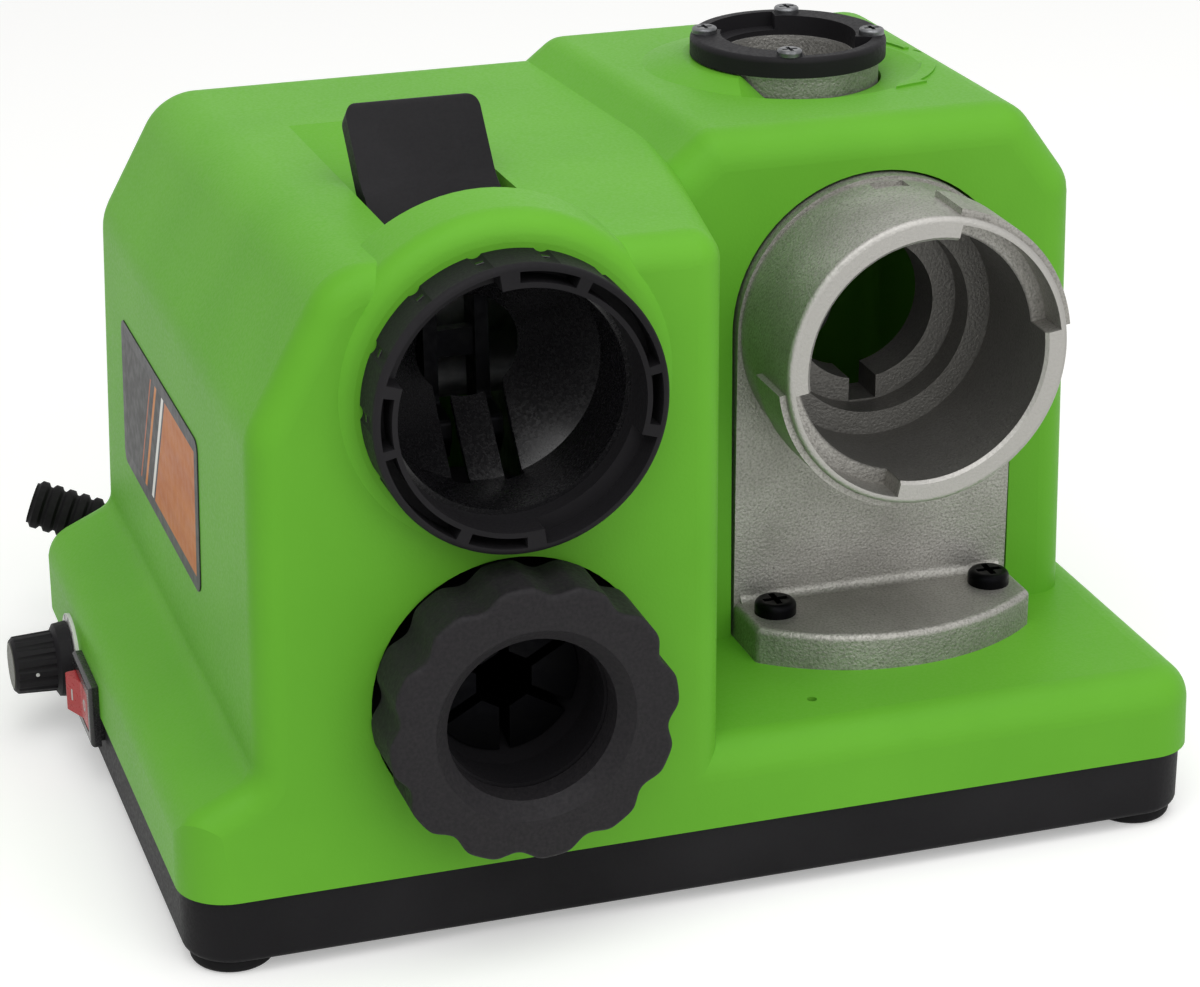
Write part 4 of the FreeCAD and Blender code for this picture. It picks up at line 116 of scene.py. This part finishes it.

# Deeper black blocks at the back of the setting ring's grooves, painted shade for small pits, in millimetres
RING_GROOVES = 14
RING_PIP_MM = (1.8, 1.1, 0.5)
RING_PIP_SOFT_MM = 0.1
RING_PIP_BACK_MM = 3.4
RING_GROOVE_DEPTH_MM = 0.6

# Where rays start that look for a surface, in metres: above everything, and clear of a part
ABOVE_ALL = 1.0
CLEAR_OF = 0.02

# Colours, as sRGB
GREEN = "#68AF32"
GREEN_DEEP = "#62A82E"
BLACK_SATIN = "#171618"
BLACK_WORN = "#232224"
BLACK_DEEP = "#0E0E10"
GRIP_DARK = "#1F1E20"
GRIP_PALE = "#272527"
RUBBER = "#171617"
CAST_GREY = "#A9A7A2"
CAST_MID = "#96948F"
CAST_DARK = "#74726E"
# Painted shade laid inside the castings' bores
CAST_BORE_PAINTED_SHADE = "#5E5D5A"
MACHINED = "#A6A4A0"
ZINC = "#B9BABA"
ZINC_DARK = "#8E9092"
OXIDE = "#111112"
SCREW_GREY = "#77787A"
SCREW_DARK = "#4C4D4F"
RED = "#BC2B2C"
RED_DEEP = "#A82225"
PRINT_GREY = "#B9BDBB"
PRINT_ORANGE = "#C9781F"
PRINT_AMBER = "#A8500F"
PRINT_WHITE = "#E9E8E4"
PRINT_DARK = "#333335"
CAP_GREY = "#4E4F46"
CAP_PALE = "#5A5B52"
BOARD_GREEN = "#1F6B43"
BOARD_PALE = "#2F7F55"
COPPER = "#C77B52"
COPPER_DARK = "#8F5236"
FERRITE = "#3B3A3B"
CARBON = "#2C2B2B"
LAMINATION = "#7E7F82"
GRIT = "#56575A"
GRIT_SPARK = "#A9A9A6"
FLOOR_WHITE = "#EDEDEB"
WHITE = (1.0, 1.0, 1.0, 1.0)

# Side label: its border, the lean and place of its stripes, and where each stripe starts, in millimetres
LABEL_BORDER_MM = 3.2
LABEL_EDGE_MM = 0.05
LABEL_SLANT = 0.5
LABEL_SPLIT = 0.56
LABEL_STRIPES = (
    (-6.0, PRINT_DARK),
    (-4.6, PRINT_WHITE),
    (-2.4, BLACK_SATIN),
    (3.0, PRINT_ORANGE),
    (5.0, BLACK_SATIN),
    (9.0, PRINT_AMBER),
    (10.0, BLACK_SATIN),
)

# Light: name, place in metres, width in metres, watts
LAMPS = (
    ("key_softbox", (-0.62, -0.9, 1.5), 1.2, 9.5),
    ("front_softbox", (0.45, -1.6, 0.9), 1.3, 8.0),
    ("top_softbox", (0.3, -0.3, 1.7), 1.5, 10.0),
)
LAMP_AIM = (0.0, 0.0, 0.08)
WORLD_LIGHT = 0.42
FLOOR_SIZE = 8.0
FLOOR_GLOW = 0.32


def linear(code):
    """sRGB hex to a linear colour with full alpha."""
    channels = [int(code[i:i + 2], 16) / 255 for i in (1, 3, 5)]
    return tuple(c / 12.92 if c <= 0.04045 else ((c + 0.055) / 1.055) ** 2.4 for c in channels) + (1.0,)


def per_mm(size):
    """Texture scale whose features are about this many millimetres across."""
    return 1 / (size * MM)


def add(tree, kind, inputs=None, **settings):
    """Adds a node, sets it up and links or fills its inputs."""
    node = tree.nodes.new("ShaderNode" + kind)
    for name, value in settings.items():
        setattr(node, name, value)
    for key, value in (inputs or {}).items():
        if isinstance(value, bpy.types.NodeSocket):
            tree.links.new(value, node.inputs[key])
        else:
            node.inputs[key].default_value = value
    return node


def new_finish(name, **values):
    """New material with its shader's plain values set; also gives its tree, shader and object coordinates."""
    material = bpy.data.materials.new(name)
    material.use_nodes = True
    tree = material.node_tree
    shader = tree.nodes["Principled BSDF"]
    for key, value in values.items():
        shader.inputs[key.replace("_", " ")].default_value = value
    return material, tree, shader, add(tree, "TexCoord").outputs["Object"]


def blotches(tree, place, size, detail=3.0, low=0.35, high=0.65):
    """Cloudy pattern of one size in millimetres, stretched to run from 0 to 1."""
    noise = add(tree, "TexNoise", {"Vector": place, "Scale": per_mm(size), "Detail": detail})
    stretch = {"Value": noise.outputs["Fac"], "From Min": low, "From Max": high}
    return add(tree, "MapRange", stretch).outputs["Result"]


def layered(tree, ground, *layers):
    """Colour of a ground under layers, each with a mask and a colour."""
    tone = linear(ground)
    for mask, colour in layers:
        tone = add(tree, "Mix", {0: mask, 6: tone, 7: linear(colour)}, data_type="RGBA").outputs[2]
    return tone


def dress(tree, shader, tone, grain, rough, depth_mm, strength):
    """Gives a shader its colour, and its gloss and relief from a grain pattern."""
    gloss = add(tree, "MapRange", {"Value": grain, "To Min": rough[0], "To Max": rough[1]})
    relief = add(tree, "Bump", {"Height": grain, "Strength": strength, "Distance": depth_mm * MM})
    tree.links.new(tone, shader.inputs["Base Color"])
    tree.links.new(gloss.outputs["Result"], shader.inputs["Roughness"])
    tree.links.new(relief.outputs["Normal"], shader.inputs["Normal"])


def moulded(name, colour, second, rough, specular, flow_mm=FLOW_MARK_MM, grain_mm=SKIN_MM,
            depth_mm=SKIN_DEPTH_MM):
    """Injection-moulded plastic: even colour with faint flow marks and a fine spark-eroded skin."""
    material, tree, shader, place = new_finish(name, IOR=PLASTIC_IOR, Specular_IOR_Level=specular)
    tone = layered(tree, colour, (blotches(tree, place, flow_mm), second))
    skin = blotches(tree, place, grain_mm, detail=2.0)
    gloss = [rough + step for step in MOULDED_GLOSS]
    dress(tree, shader, tone, skin, rough=gloss, depth_mm=depth_mm, strength=0.35)
    return material


def plated(name, colour, second, rough):
    """Metal with a thin plated or oxide skin: slightly cloudy, with small bright flecks."""
    material, tree, shader, place = new_finish(name, Metallic=1.0)
    tone = layered(tree, colour, (blotches(tree, place, PLATE_CLOUD_MM), second))
    flecks = blotches(tree, place, PLATE_FLECK_MM, detail=4.0)
    gloss = [rough + step for step in PLATED_GLOSS]
    dress(tree, shader, tone, flecks, rough=gloss, depth_mm=0.015, strength=0.25)
    return material


def turned_metal(name, colour, second):
    """Turned or ground metal: fine rings across the left-right axis, drawn half a millimetre wide to show."""
    material, tree, shader, place = new_finish(name, Metallic=1.0)
    squeeze = (per_mm(TURNED_LINE_MM), per_mm(TURNED_RUN_MM), per_mm(TURNED_RUN_MM))
    stretched = add(tree, "Mapping", {"Vector": place, "Scale": squeeze}).outputs["Vector"]
    rings = add(tree, "TexNoise", {"Vector": stretched, "Scale": 1.0, "Detail": 3.0}).outputs["Fac"]
    tone = layered(tree, colour, (rings, second))
    dress(tree, shader, tone, rings, rough=(0.22, 0.42), depth_mm=0.01, strength=0.3)
    return material


def cast_aluminium(name, axis, rim_at, rim_sign, centre, bore_r, shade):
    """Die-cast aluminium, shot-blasted to a dull grainy grey, with a rim machined paler and painted shade
    darkening the bore.
    """
    material, tree, shader, place = new_finish(name, Metallic=0.8, Specular_IOR_Level=0.3)
    aside = add(tree, "VectorMath", {0: place, 1: [c * MM for c in centre]}, operation="SUBTRACT")
    across = [float(letter != axis) for letter in "XYZ"]
    flat = add(tree, "VectorMath", {0: aside.outputs["Vector"], 1: across}, operation="MULTIPLY")
    distance = add(tree, "VectorMath", {0: flat.outputs["Vector"]}, operation="LENGTH").outputs["Value"]
    # Painted shade: surfaces within the bore's radius are mixed towards the painted shade colour
    bore_fade = [(bore_r + step) * MM for step in BORE_FADE_MM]
    inside = {"Value": distance, "From Min": bore_fade[0], "From Max": bore_fade[1], "To Max": shade}
    bore_shade = add(tree, "MapRange", inside).outputs["Result"]
    along = add(tree, "SeparateXYZ", {"Vector": place}).outputs[axis]
    rim_fade = [rim_at + rim_sign * step * MM for step in RIM_FADE_MM]
    cut = {"Value": along, "From Min": rim_fade[0], "From Max": rim_fade[1]}
    rim = add(tree, "MapRange", cut).outputs["Result"]
    tone = layered(
        tree, CAST_GREY,
        (blotches(tree, place, CAST_CLOUD_MM), CAST_MID),
        (blotches(tree, place, CAST_SPECK_MM, detail=2.0, low=0.45, high=0.85), CAST_DARK),
        (bore_shade, CAST_BORE_PAINTED_SHADE),
        (rim, MACHINED),
    )
    pebbles = blotches(tree, place, CAST_PEBBLE_MM, low=0.3, high=0.7)
    worn = add(tree, "MapRange", {"Value": rim, "To Min": 1.0, "To Max": 0.7})
    grain = add(tree, "Math", {0: pebbles, 1: worn.outputs["Result"]}, operation="MULTIPLY")
    dress(tree, shader, tone, grain.outputs["Value"], rough=(0.46, 0.62), depth_mm=0.12, strength=0.6)
    return material


def label_film():
    """Printed polyester film: plain orange and black fields with slanted stripes, in a dark border."""
    material, tree, shader, place = new_finish("printed_polyester_film", Specular_IOR_Level=0.12)
    low, high = (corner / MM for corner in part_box("side_label"))
    axes = add(tree, "SeparateXYZ", {"Vector": place})
    along, up = axes.outputs["Y"], axes.outputs["Z"]
    slant = add(tree, "Math", {0: up, 1: LABEL_SLANT, 2: along}, operation="MULTIPLY_ADD").outputs["Value"]
    slant_at = low.y + LABEL_SPLIT * (high.y - low.y) + LABEL_SLANT * (low.z + high.z) / 2
    fields = [(slant, slant_at + start, 1, colour) for start, colour in LABEL_STRIPES]
    fields += [
        (along, high.y - LABEL_BORDER_MM, 1, PRINT_DARK),
        (along, low.y + LABEL_BORDER_MM, -1, PRINT_DARK),
        (up, high.z - LABEL_BORDER_MM, 1, PRINT_DARK),
        (up, low.z + LABEL_BORDER_MM, -1, PRINT_DARK),
    ]
    stretch = (1.0, per_mm(FILM_STREAK_MM[0]), per_mm(FILM_STREAK_MM[1]))
    streaks = add(tree, "Mapping", {"Vector": place, "Scale": stretch})
    flow = add(tree, "TexNoise", {"Vector": streaks.outputs["Vector"], "Scale": 1.0, "Detail": 3.0})
    layers = [(flow.outputs["Fac"], PRINT_ORANGE)]
    for value, at, sign, colour in fields:
        before = (at - LABEL_EDGE_MM * sign) * MM
        after = (at + LABEL_EDGE_MM * sign) * MM
        mask = add(tree, "MapRange", {"Value": value, "From Min": before, "From Max": after})
        layers.append((mask.outputs["Result"], colour))
    sheen = blotches(tree, place, FILM_SHEEN_MM)
    tone = layered(tree, PRINT_AMBER, *layers)
    dress(tree, shader, tone, sheen, rough=(0.36, 0.44), depth_mm=0.005, strength=0.2)
    return material


def abrasive():
    """Plated abrasive wheel: dark bond full of bright grains, drawn about 1 mm wide so that they show."""
    material, tree, shader, place = new_finish("plated_abrasive_grit", Metallic=0.6)
    grains = add(tree, "TexVoronoi", {"Vector": place, "Scale": per_mm(GRIT_MM)}).outputs["Distance"]
    tone = layered(tree, GRIT_SPARK, (grains, GRIT))
    dress(tree, shader, tone, grains, rough=(0.45, 0.8), depth_mm=0.2, strength=0.7)
    return material


def laminated():
    """Stack of half-millimetre steel sheets, whose edges show as rings, drawn 1 mm wide so that they show."""
    material, tree, shader, place = new_finish("laminated_electrical_steel", Metallic=1.0)
    rings = {"Vector": place, "Scale": per_mm(SHEET_WAVE_MM), "Distortion": 0.4}
    edges = add(tree, "TexWave", rings, bands_direction="X").outputs["Fac"]
    tone = layered(tree, LAMINATION, (edges, FERRITE))
    dress(tree, shader, tone, edges, rough=(0.35, 0.55), depth_mm=0.05, strength=0.4)
    return material


def finish_parts():
    """Makes the finishes and gives every part its own."""
    port_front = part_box("grinding_port")[0].y
    tube_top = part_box("split_port_tube")[1].z
    jaws = ["collet_jaw_%d" % i for i in range(1, 7)]

    # Bright green shell, satin, with the fine even tooth of a spark-eroded mould
    green = moulded("green_abs", GREEN, GREEN_DEEP, rough=0.46, specular=0.1)
    # Black structural parts, a little duller than the shell
    black = moulded("black_abs", BLACK_SATIN, BLACK_WORN, rough=0.52, specular=0.08)
    # Hand grip, dry, finely mottled grey, with a coarser tooth
    grip = moulded("black_nylon_grip", GRIP_DARK, GRIP_PALE, rough=0.58, specular=0.14, flow_mm=0.8,
                   grain_mm=1.1, depth_mm=0.06)
    # Polished mould surface that gives a soft bright patch in the funnel
    polished = moulded("black_polished_abs", BLACK_DEEP, BLACK_SATIN, rough=0.24, specular=0.5,
                       depth_mm=0.002)
    # Rubber, which hardly shines
    rubber = moulded("black_rubber", RUBBER, BLACK_DEEP, rough=0.68, specular=0.1, grain_mm=1.3,
                     depth_mm=0.05)
    # Glossy red key of the switch
    red = moulded("red_polycarbonate", RED, RED_DEEP, rough=0.3, specular=0.25, depth_mm=0.004)
    # Thin pale film under the speed knob
    dial = moulded("printed_dial_film", PRINT_GREY, PRINT_WHITE, rough=0.4, specular=0.2, depth_mm=0.004)
    # Green solder mask on glass laminate
    board = moulded("circuit_board_laminate", BOARD_GREEN, BOARD_PALE, rough=0.4, specular=0.3)
    # Dull black pressed blocks
    carbon = moulded("pressed_carbon", CARBON, BLACK_DEEP, rough=0.6, specular=0.2)
    # Bright, faintly bluish plating
    zinc = plated("zinc_plated_steel", ZINC, ZINC_DARK, rough=0.34)
    # Greyed plating of small screws
    dull_zinc = plated("passivated_zinc_steel", SCREW_GREY, SCREW_DARK, rough=0.36)
    # Oiled black oxide, with only a weak shine
    oxide = plated("black_oxide_steel", OXIDE, BLACK_DEEP, rough=0.46)
    # Plain grey casting of the motor's end cap
    end_cap = plated("die_cast_zinc", ZINC_DARK, LAMINATION, rough=0.45)
    # Dark grey ceramic magnet
    ferrite = plated("sintered_ferrite", FERRITE, CARBON, rough=0.6)
    # Bright shafts and bearings, with the streaks of the grinding wheel round them
    ground = turned_metal("ground_steel", ZINC, ZINC_DARK)
    # Warm copper ring, turned true
    copper = turned_metal("turned_copper", COPPER, COPPER_DARK)
    # Grinding port, grainy outside, with painted shade darkening its bore
    port_metal = cast_aluminium("cast_aluminium_port", "Y", port_front, 1, PORT_CENTRE_MM, PORT_BORE_MM,
                                PORT_BORE_SHADE)
    # Split port, the same metal, with only faint painted shade in its bore, so that the bore stays bright
    tube_metal = cast_aluminium("cast_aluminium_tube", "Z", tube_top, -1, SPLIT_CENTRE_MM, SPLIT_BORE_MM,
                                SPLIT_BORE_SHADE)

    finishes = (
        (green, ["housing_shell"]),
        (black, ["base_tray", "setting_ring", "alignment_lever", "split_port_ring", "storage_socket",
                 "chuck_body", "motor_rear_cap", "cooling_fan", "speed_pot", "speed_knob"]),
        (grip, ["chuck_knob"]),
        (polished, ["setting_cup", "switch_housing"]),
        (rubber, ["rubber_feet", "cord_gland"]),
        (red, ["switch_rocker"]),
        (dial, ["dial_plate"]),
        (board, ["control_board"]),
        (carbon, ["brushes"]),
        (zinc, ["base_screws", "motor_can", "motor_bracket", "motor_screws", "bracket_screws", "wheel_nut",
                "pot_nut", "lever_pin", "lever_spring"]),
        (dull_zinc, ["split_ring_screws"]),
        (oxide, ["port_screws", "alignment_fork"] + jaws),
        (end_cap, ["motor_front_cap"]),
        (ferrite, ["stator_magnets"]),
        (ground, ["motor_shaft", "front_bearing", "rear_bearing", "speed_shaft", "wheel_hub"]),
        (copper, ["commutator"]),
        (port_metal, ["grinding_port"]),
        (tube_metal, ["split_port_tube"]),
        (label_film(), ["side_label"]),
        (laminated(), ["rotor_core"]),
        (abrasive(), ["grinding_wheel"]),
    )
    for finish, names in finishes:
        for name in names:
            PARTS[name].data.materials.clear()
            PARTS[name].data.materials.append(finish)
    return green, polished


def surface_of(name):
    """Search tree of a part's surface, for seating small pieces on it."""
    mesh = PARTS[name].data
    corners = [v.co.copy() for v in mesh.vertices]
    return BVHTree.FromPolygons(corners, [tuple(p.vertices) for p in mesh.polygons])


def middle_of(name):
    """Middle of a part's box."""
    low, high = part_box(name)
    return (low + high) / 2


def new_piece(name, shape, finish, body):
    """Turns a bmesh into a piece that rides on a body."""
    bmesh.ops.remove_doubles(shape, verts=shape.verts, dist=1e-7)
    bmesh.ops.recalc_face_normals(shape, faces=shape.faces)
    mesh = bpy.data.meshes.new(name)
    shape.to_mesh(mesh)
    shape.free()
    mesh.materials.append(finish)
    piece = bpy.data.objects.new(name, mesh)
    bpy.context.scene.collection.objects.link(piece)
    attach(piece, body)


def extruded_verts(result):
    """Vertices that an extrusion made."""
    return [item for item in result["geom"] if isinstance(item, bmesh.types.BMVert)]


def add_block(shape, size, matrix, bevel_mm):
    """Adds a box of a size in millimetres, softened along its edges, at a place."""
    made = bmesh.ops.create_cube(shape, size=1.0)["verts"]
    bmesh.ops.scale(shape, vec=[s * MM for s in size], verts=made)
    bmesh.ops.transform(shape, matrix=matrix, verts=made)
    edges = list({e for v in made for e in v.link_edges})
    bmesh.ops.bevel(shape, geom=edges, offset=bevel_mm * MM, offset_type="OFFSET", affect="EDGES", segments=2,
                    profile=0.5, material=-1)


def add_disc(shape, radius_mm, height_mm, matrix):
    """Adds a thin disc with a softened upper rim, its foot at a place."""
    made = bmesh.ops.create_circle(shape, cap_ends=True, segments=DISC_STEPS, radius=radius_mm * MM)
    foot = made["verts"]
    faces = list({f for v in foot for f in v.link_faces})
    top = extruded_verts(bmesh.ops.extrude_face_region(shape, geom=faces))
    bmesh.ops.translate(shape, vec=(0, 0, height_mm * MM), verts=top)
    bmesh.ops.transform(shape, matrix=matrix, verts=foot + top)
    rim = [e for e in shape.edges if e.verts[0] in top and e.verts[1] in top]
    bmesh.ops.bevel(shape, geom=rim, offset=DISC_SOFT * height_mm * MM, offset_type="OFFSET", affect="EDGES",
                    segments=2, profile=0.5, material=-1)


def add_band(shape, centre, radii_mm, angles_deg, steps):
    """Adds a flat band of a ring, as one row of faces spun round its centre."""
    start, end = (math.radians(a) for a in angles_deg)
    outward = Vector((math.cos(start), math.sin(start), 0)) * MM
    edge = shape.edges.new([shape.verts.new(centre + outward * r) for r in radii_mm])
    bmesh.ops.spin(shape, geom=[edge] + list(edge.verts), cent=centre, axis=(0, 0, 1), angle=end - start,
                   steps=steps, use_merge=False, use_duplicate=False)


def add_arrow_head(shape, centre):
    """Adds a flat triangle at the end of the arrow's band, pointing on along the band."""
    bmesh.ops.create_circle(shape, cap_ends=True, segments=3, radius=1.0)
    # This triangle is the root of three wide and one and a half high, with its tip along Y
    wide = ARROW_HEAD_W_MM * MM / math.sqrt(3)
    long = ARROW_HEAD_L_MM * MM / 1.5
    bmesh.ops.scale(shape, vec=(wide, long, 1), verts=shape.verts)
    bmesh.ops.translate(shape, vec=(0, ARROW_HEAD_L_MM * MM / 3, 0), verts=shape.verts)
    bmesh.ops.subdivide_edges(shape, edges=shape.edges[:], cuts=ARROW_HEAD_CUTS, use_grid_fill=True)
    radius = sum(ARROW_BAND_MM) / 2 * MM
    neck = Matrix.Rotation(math.radians(ARROW_BAND_DEG[1]), 4, "Z")
    turn = neck @ Matrix.Translation((radius, 0, 0)) @ Matrix.Rotation(math.pi, 4, "Z")
    bmesh.ops.transform(shape, matrix=Matrix.Translation(centre) @ turn, verts=shape.verts)


def drape(shape, surface):
    """Thickens a flat shape and lays it on a surface below, a little sunk and a little proud."""
    upper = set(extruded_verts(bmesh.ops.extrude_face_region(shape, geom=shape.faces[:])))
    for vert in shape.verts:
        hit = surface.ray_cast(Vector((vert.co.x, vert.co.y, ABOVE_ALL)), Vector((0, 0, -1)))[0]
        vert.co.z = hit.z + (MARK_PROUD_MM if vert in upper else -MARK_SINK_MM) * MM


def roof_marks(green):
    """Raised curved arrow and a short arc beside the split port, which show the turning direction."""
    centre = middle_of("split_port_ring")
    centre.z = 0
    surface = surface_of("housing_shell")
    shaft = bmesh.new()
    add_band(shaft, centre, ARROW_BAND_MM, ARROW_BAND_DEG, ARROW_STEPS)
    head = bmesh.new()
    add_arrow_head(head, centre)
    arc = bmesh.new()
    add_band(arc, centre, ARC_BAND_MM, ARC_BAND_DEG, ARC_STEPS)
    for name, shape in (("roof_arrow_shaft", shaft), ("roof_arrow_head", head), ("roof_arc", arc)):
        drape(shape, surface)
        new_piece(name, shape, green, "machine")


def ring_pit_shade(dark):
    """Small square blocks of deeper black at the back of the setting ring's grip grooves, painted shade
    standing in for the shadow in small pits.
    """
    low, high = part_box("setting_ring")
    centre = middle_of("setting_ring")
    centre.y = high.y - RING_PIP_BACK_MM * MM
    groove_r = (high.z - low.z) / 2 - RING_GROOVE_DEPTH_MM * MM
    seat = Matrix.Translation((groove_r, 0, 0)) @ Matrix.Rotation(math.radians(90), 4, "Y")
    # Painted shade: the blocks take the deep black finish to stand in for shadowed pits
    shape = bmesh.new()
    for i in range(RING_GROOVES):
        turn = Matrix.Translation(centre) @ Matrix.Rotation(2 * math.pi * i / RING_GROOVES, 4, "Y")
        add_block(shape, RING_PIP_MM, turn @ seat, RING_PIP_SOFT_MM)
    new_piece("setting_ring_pit_shade", shape, dark, "machine")


def facing(location, normal, upright):
    """Matrix that lays a flat piece on a surface, with its local Y along the given direction."""
    side = upright.cross(normal).normalized()
    turn = Matrix((side, normal.cross(side), normal)).transposed().to_4x4()
    return Matrix.Translation(location) @ turn


def rocker_marks(white):
    """Line and ring printed on the two wings of the rocker."""
    centre = middle_of("switch_rocker")
    surface = surface_of("switch_rocker")
    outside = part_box("switch_rocker")[0].x - CLEAR_OF
    wings = []
    for offset in (ROCKER_MARK_Y_MM, -ROCKER_MARK_Y_MM):
        start = Vector((outside, centre.y + offset * MM, centre.z))
        location, normal, _, _ = surface.ray_cast(start, Vector((1, 0, 0)))
        wings.append(facing(location, normal, Vector((0, 0, 1))))

    shape = bmesh.new()
    add_block(shape, ROCKER_BAR_MM, wings[0], ROCKER_BAR_SOFT_MM)
    made = bmesh.ops.create_circle(shape, segments=ROCKER_RING_STEPS, radius=ROCKER_RING_R_MM * MM)
    outer = made["verts"]
    edges = list({e for v in outer for e in v.link_edges})
    inner = extruded_verts(bmesh.ops.extrude_edge_only(shape, edges=edges))
    bmesh.ops.scale(shape, vec=(ROCKER_RING_HOLE, ROCKER_RING_HOLE, 1.0), verts=inner)
    band = list({f for v in inner for f in v.link_faces})
    raised = extruded_verts(bmesh.ops.extrude_face_region(shape, geom=band))
    bmesh.ops.translate(shape, vec=(0, 0, ROCKER_BAR_MM[2] / 2 * MM), verts=raised)
    bmesh.ops.transform(shape, matrix=wings[1], verts=outer + inner + raised)
    new_piece("rocker_marks", shape, white, "rocker")


def knob_details(cap, white):
    """Grey cap on the end of the speed knob, and a small white dot on its side."""
    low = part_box("speed_knob")[0]
    centre = middle_of("speed_knob")
    end = Matrix.Translation((low.x, centre.y, centre.z)) @ Matrix.Rotation(math.radians(-90), 4, "Y")
    shape = bmesh.new()
    add_disc(shape, KNOB_CAP_R_MM, KNOB_CAP_H_MM, end)
    new_piece("speed_knob_cap", shape, cap, "speed_dial")
    start = Vector((low.x + KNOB_DOT_BACK_MM * MM, low.y - CLEAR_OF, centre.z))
    location, normal, _, _ = surface_of("speed_knob").ray_cast(start, Vector((0, 1, 0)))
    shape = bmesh.new()
    add_disc(shape, KNOB_DOT_R_MM, KNOB_DOT_H_MM, facing(location, normal, Vector((1, 0, 0))))
    new_piece("speed_knob_dot", shape, white, "speed_dial")


def dial_marks(dark):
    """Scale lines round the edge of the dial."""
    low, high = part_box("dial_plate")
    centre = middle_of("dial_plate")
    centre.x = low.x
    radius = (high.z - low.z) / 2 - DIAL_EDGE_MM * MM
    shape = bmesh.new()
    for i in range(DIAL_LINES):
        angle = math.radians(DIAL_SWEEP_DEG * (i / (DIAL_LINES - 1) - 0.5))
        turn = Matrix.Translation(centre) @ Matrix.Rotation(angle, 4, "X")
        add_block(shape, DIAL_LINE_MM, turn @ Matrix.Translation((0, 0, radius)), DIAL_LINE_SOFT_MM)
    new_piece("dial_marks", shape, dark, "machine")


def shown_rays(tree):
    """1 for rays from the camera, from a mirror or through glass, and 0 for rays that only light things."""
    path = add(tree, "LightPath")
    seen = path.outputs["Is Camera Ray"]
    for kind in ("Is Glossy Ray", "Is Transmission Ray"):
        seen = add(tree, "Math", {0: seen, 1: path.outputs[kind]}, operation="MAXIMUM").outputs["Value"]
    return seen


def world_light():
    """Even white world, dimmer as a light than it looks."""
    world = bpy.data.worlds.new("studio")
    bpy.context.scene.world = world
    world.use_nodes = True
    tree = world.node_tree
    tree.nodes.clear()
    strength = add(tree, "MapRange", {"Value": shown_rays(tree), "To Min": WORLD_LIGHT, "To Max": 1.0})
    back = add(tree, "Background", {"Color": WHITE, "Strength": strength.outputs["Result"]})
    add(tree, "OutputWorld", {"Surface": back.outputs["Background"]})


def floor():
    """White paper floor, which shows near white and keeps the shadow."""
    shape = bmesh.new()
    bmesh.ops.create_grid(shape, x_segments=1, y_segments=1, size=FLOOR_SIZE)
    mesh = bpy.data.meshes.new("floor")
    shape.to_mesh(mesh)
    shape.free()
    sheet = bpy.data.objects.new("floor", mesh)
    bpy.context.scene.collection.objects.link(sheet)
    material = bpy.data.materials.new("studio_paper")
    material.use_nodes = True
    tree = material.node_tree
    tree.nodes.clear()
    paper = add(tree, "BsdfDiffuse", {"Color": linear(FLOOR_WHITE)})
    glow = add(tree, "Emission", {"Color": WHITE, "Strength": FLOOR_GLOW})
    both = add(tree, "AddShader", {0: paper.outputs["BSDF"], 1: glow.outputs["Emission"]})
    shown = add(tree, "MixShader", {0: shown_rays(tree), 1: paper.outputs["BSDF"], 2: both.outputs["Shader"]})
    add(tree, "OutputMaterial", {"Surface": shown.outputs["Shader"]})
    mesh.materials.append(material)


def lamps():
    """Large soft lamps above and in front."""
    for name, place, size, power in LAMPS:
        lamp = bpy.data.lights.new(name, "AREA")
        lamp.size = size
        lamp.energy = power
        holder = bpy.data.objects.new(name, lamp)
        bpy.context.scene.collection.objects.link(holder)
        holder.location = place
        aim = Vector(LAMP_AIM) - Vector(place)
        holder.rotation_euler = aim.to_track_quat("-Z", "Y").to_euler()


def camera():
    """Camera of the photograph."""
    pitch, yaw, roll = (math.radians(a) for a in (PITCH_DEG, YAW_DEG, ROLL_DEG))
    forward = Vector((math.sin(yaw) * math.cos(pitch), math.cos(yaw) * math.cos(pitch), -math.sin(pitch)))
    level = Vector((math.cos(yaw), -math.sin(yaw), 0))
    above = level.cross(forward)
    right = level * math.cos(roll) + above * math.sin(roll)
    up = above * math.cos(roll) - level * math.sin(roll)
    data = bpy.data.cameras.new("camera")
    data.sensor_width = SENSOR_MM
    data.lens = FOCAL_PX * SENSOR_MM / IMAGE_WIDTH_PX
    holder = bpy.data.objects.new("camera", data)
    bpy.context.scene.collection.objects.link(holder)
    turn = Matrix((right, up, -forward)).transposed().to_4x4()
    holder.matrix_world = Matrix.Translation([c * MM for c in CAMERA_MM]) @ turn
    bpy.context.scene.camera = holder


bpy.context.scene.view_settings.view_transform = "Standard"
green_shell, polished_black = finish_parts()
# Screen-printed marks, flat and slightly chalky
print_white = moulded("white_print", PRINT_WHITE, PRINT_GREY, rough=0.5, specular=0.2, depth_mm=0.01)
print_dark = moulded("dark_print", PRINT_DARK, BLACK_SATIN, rough=0.5, specular=0.2, depth_mm=0.01)
# Olive-grey cap, satin like the other mouldings
grey_cap = moulded("grey_abs_cap", CAP_GREY, CAP_PALE, rough=0.4, specular=0.14)
roof_marks(green_shell)
ring_pit_shade(polished_black)
rocker_marks(print_white)
knob_details(grey_cap, print_white)
dial_marks(print_dark)
world_light()
floor()
lamps()
camera()
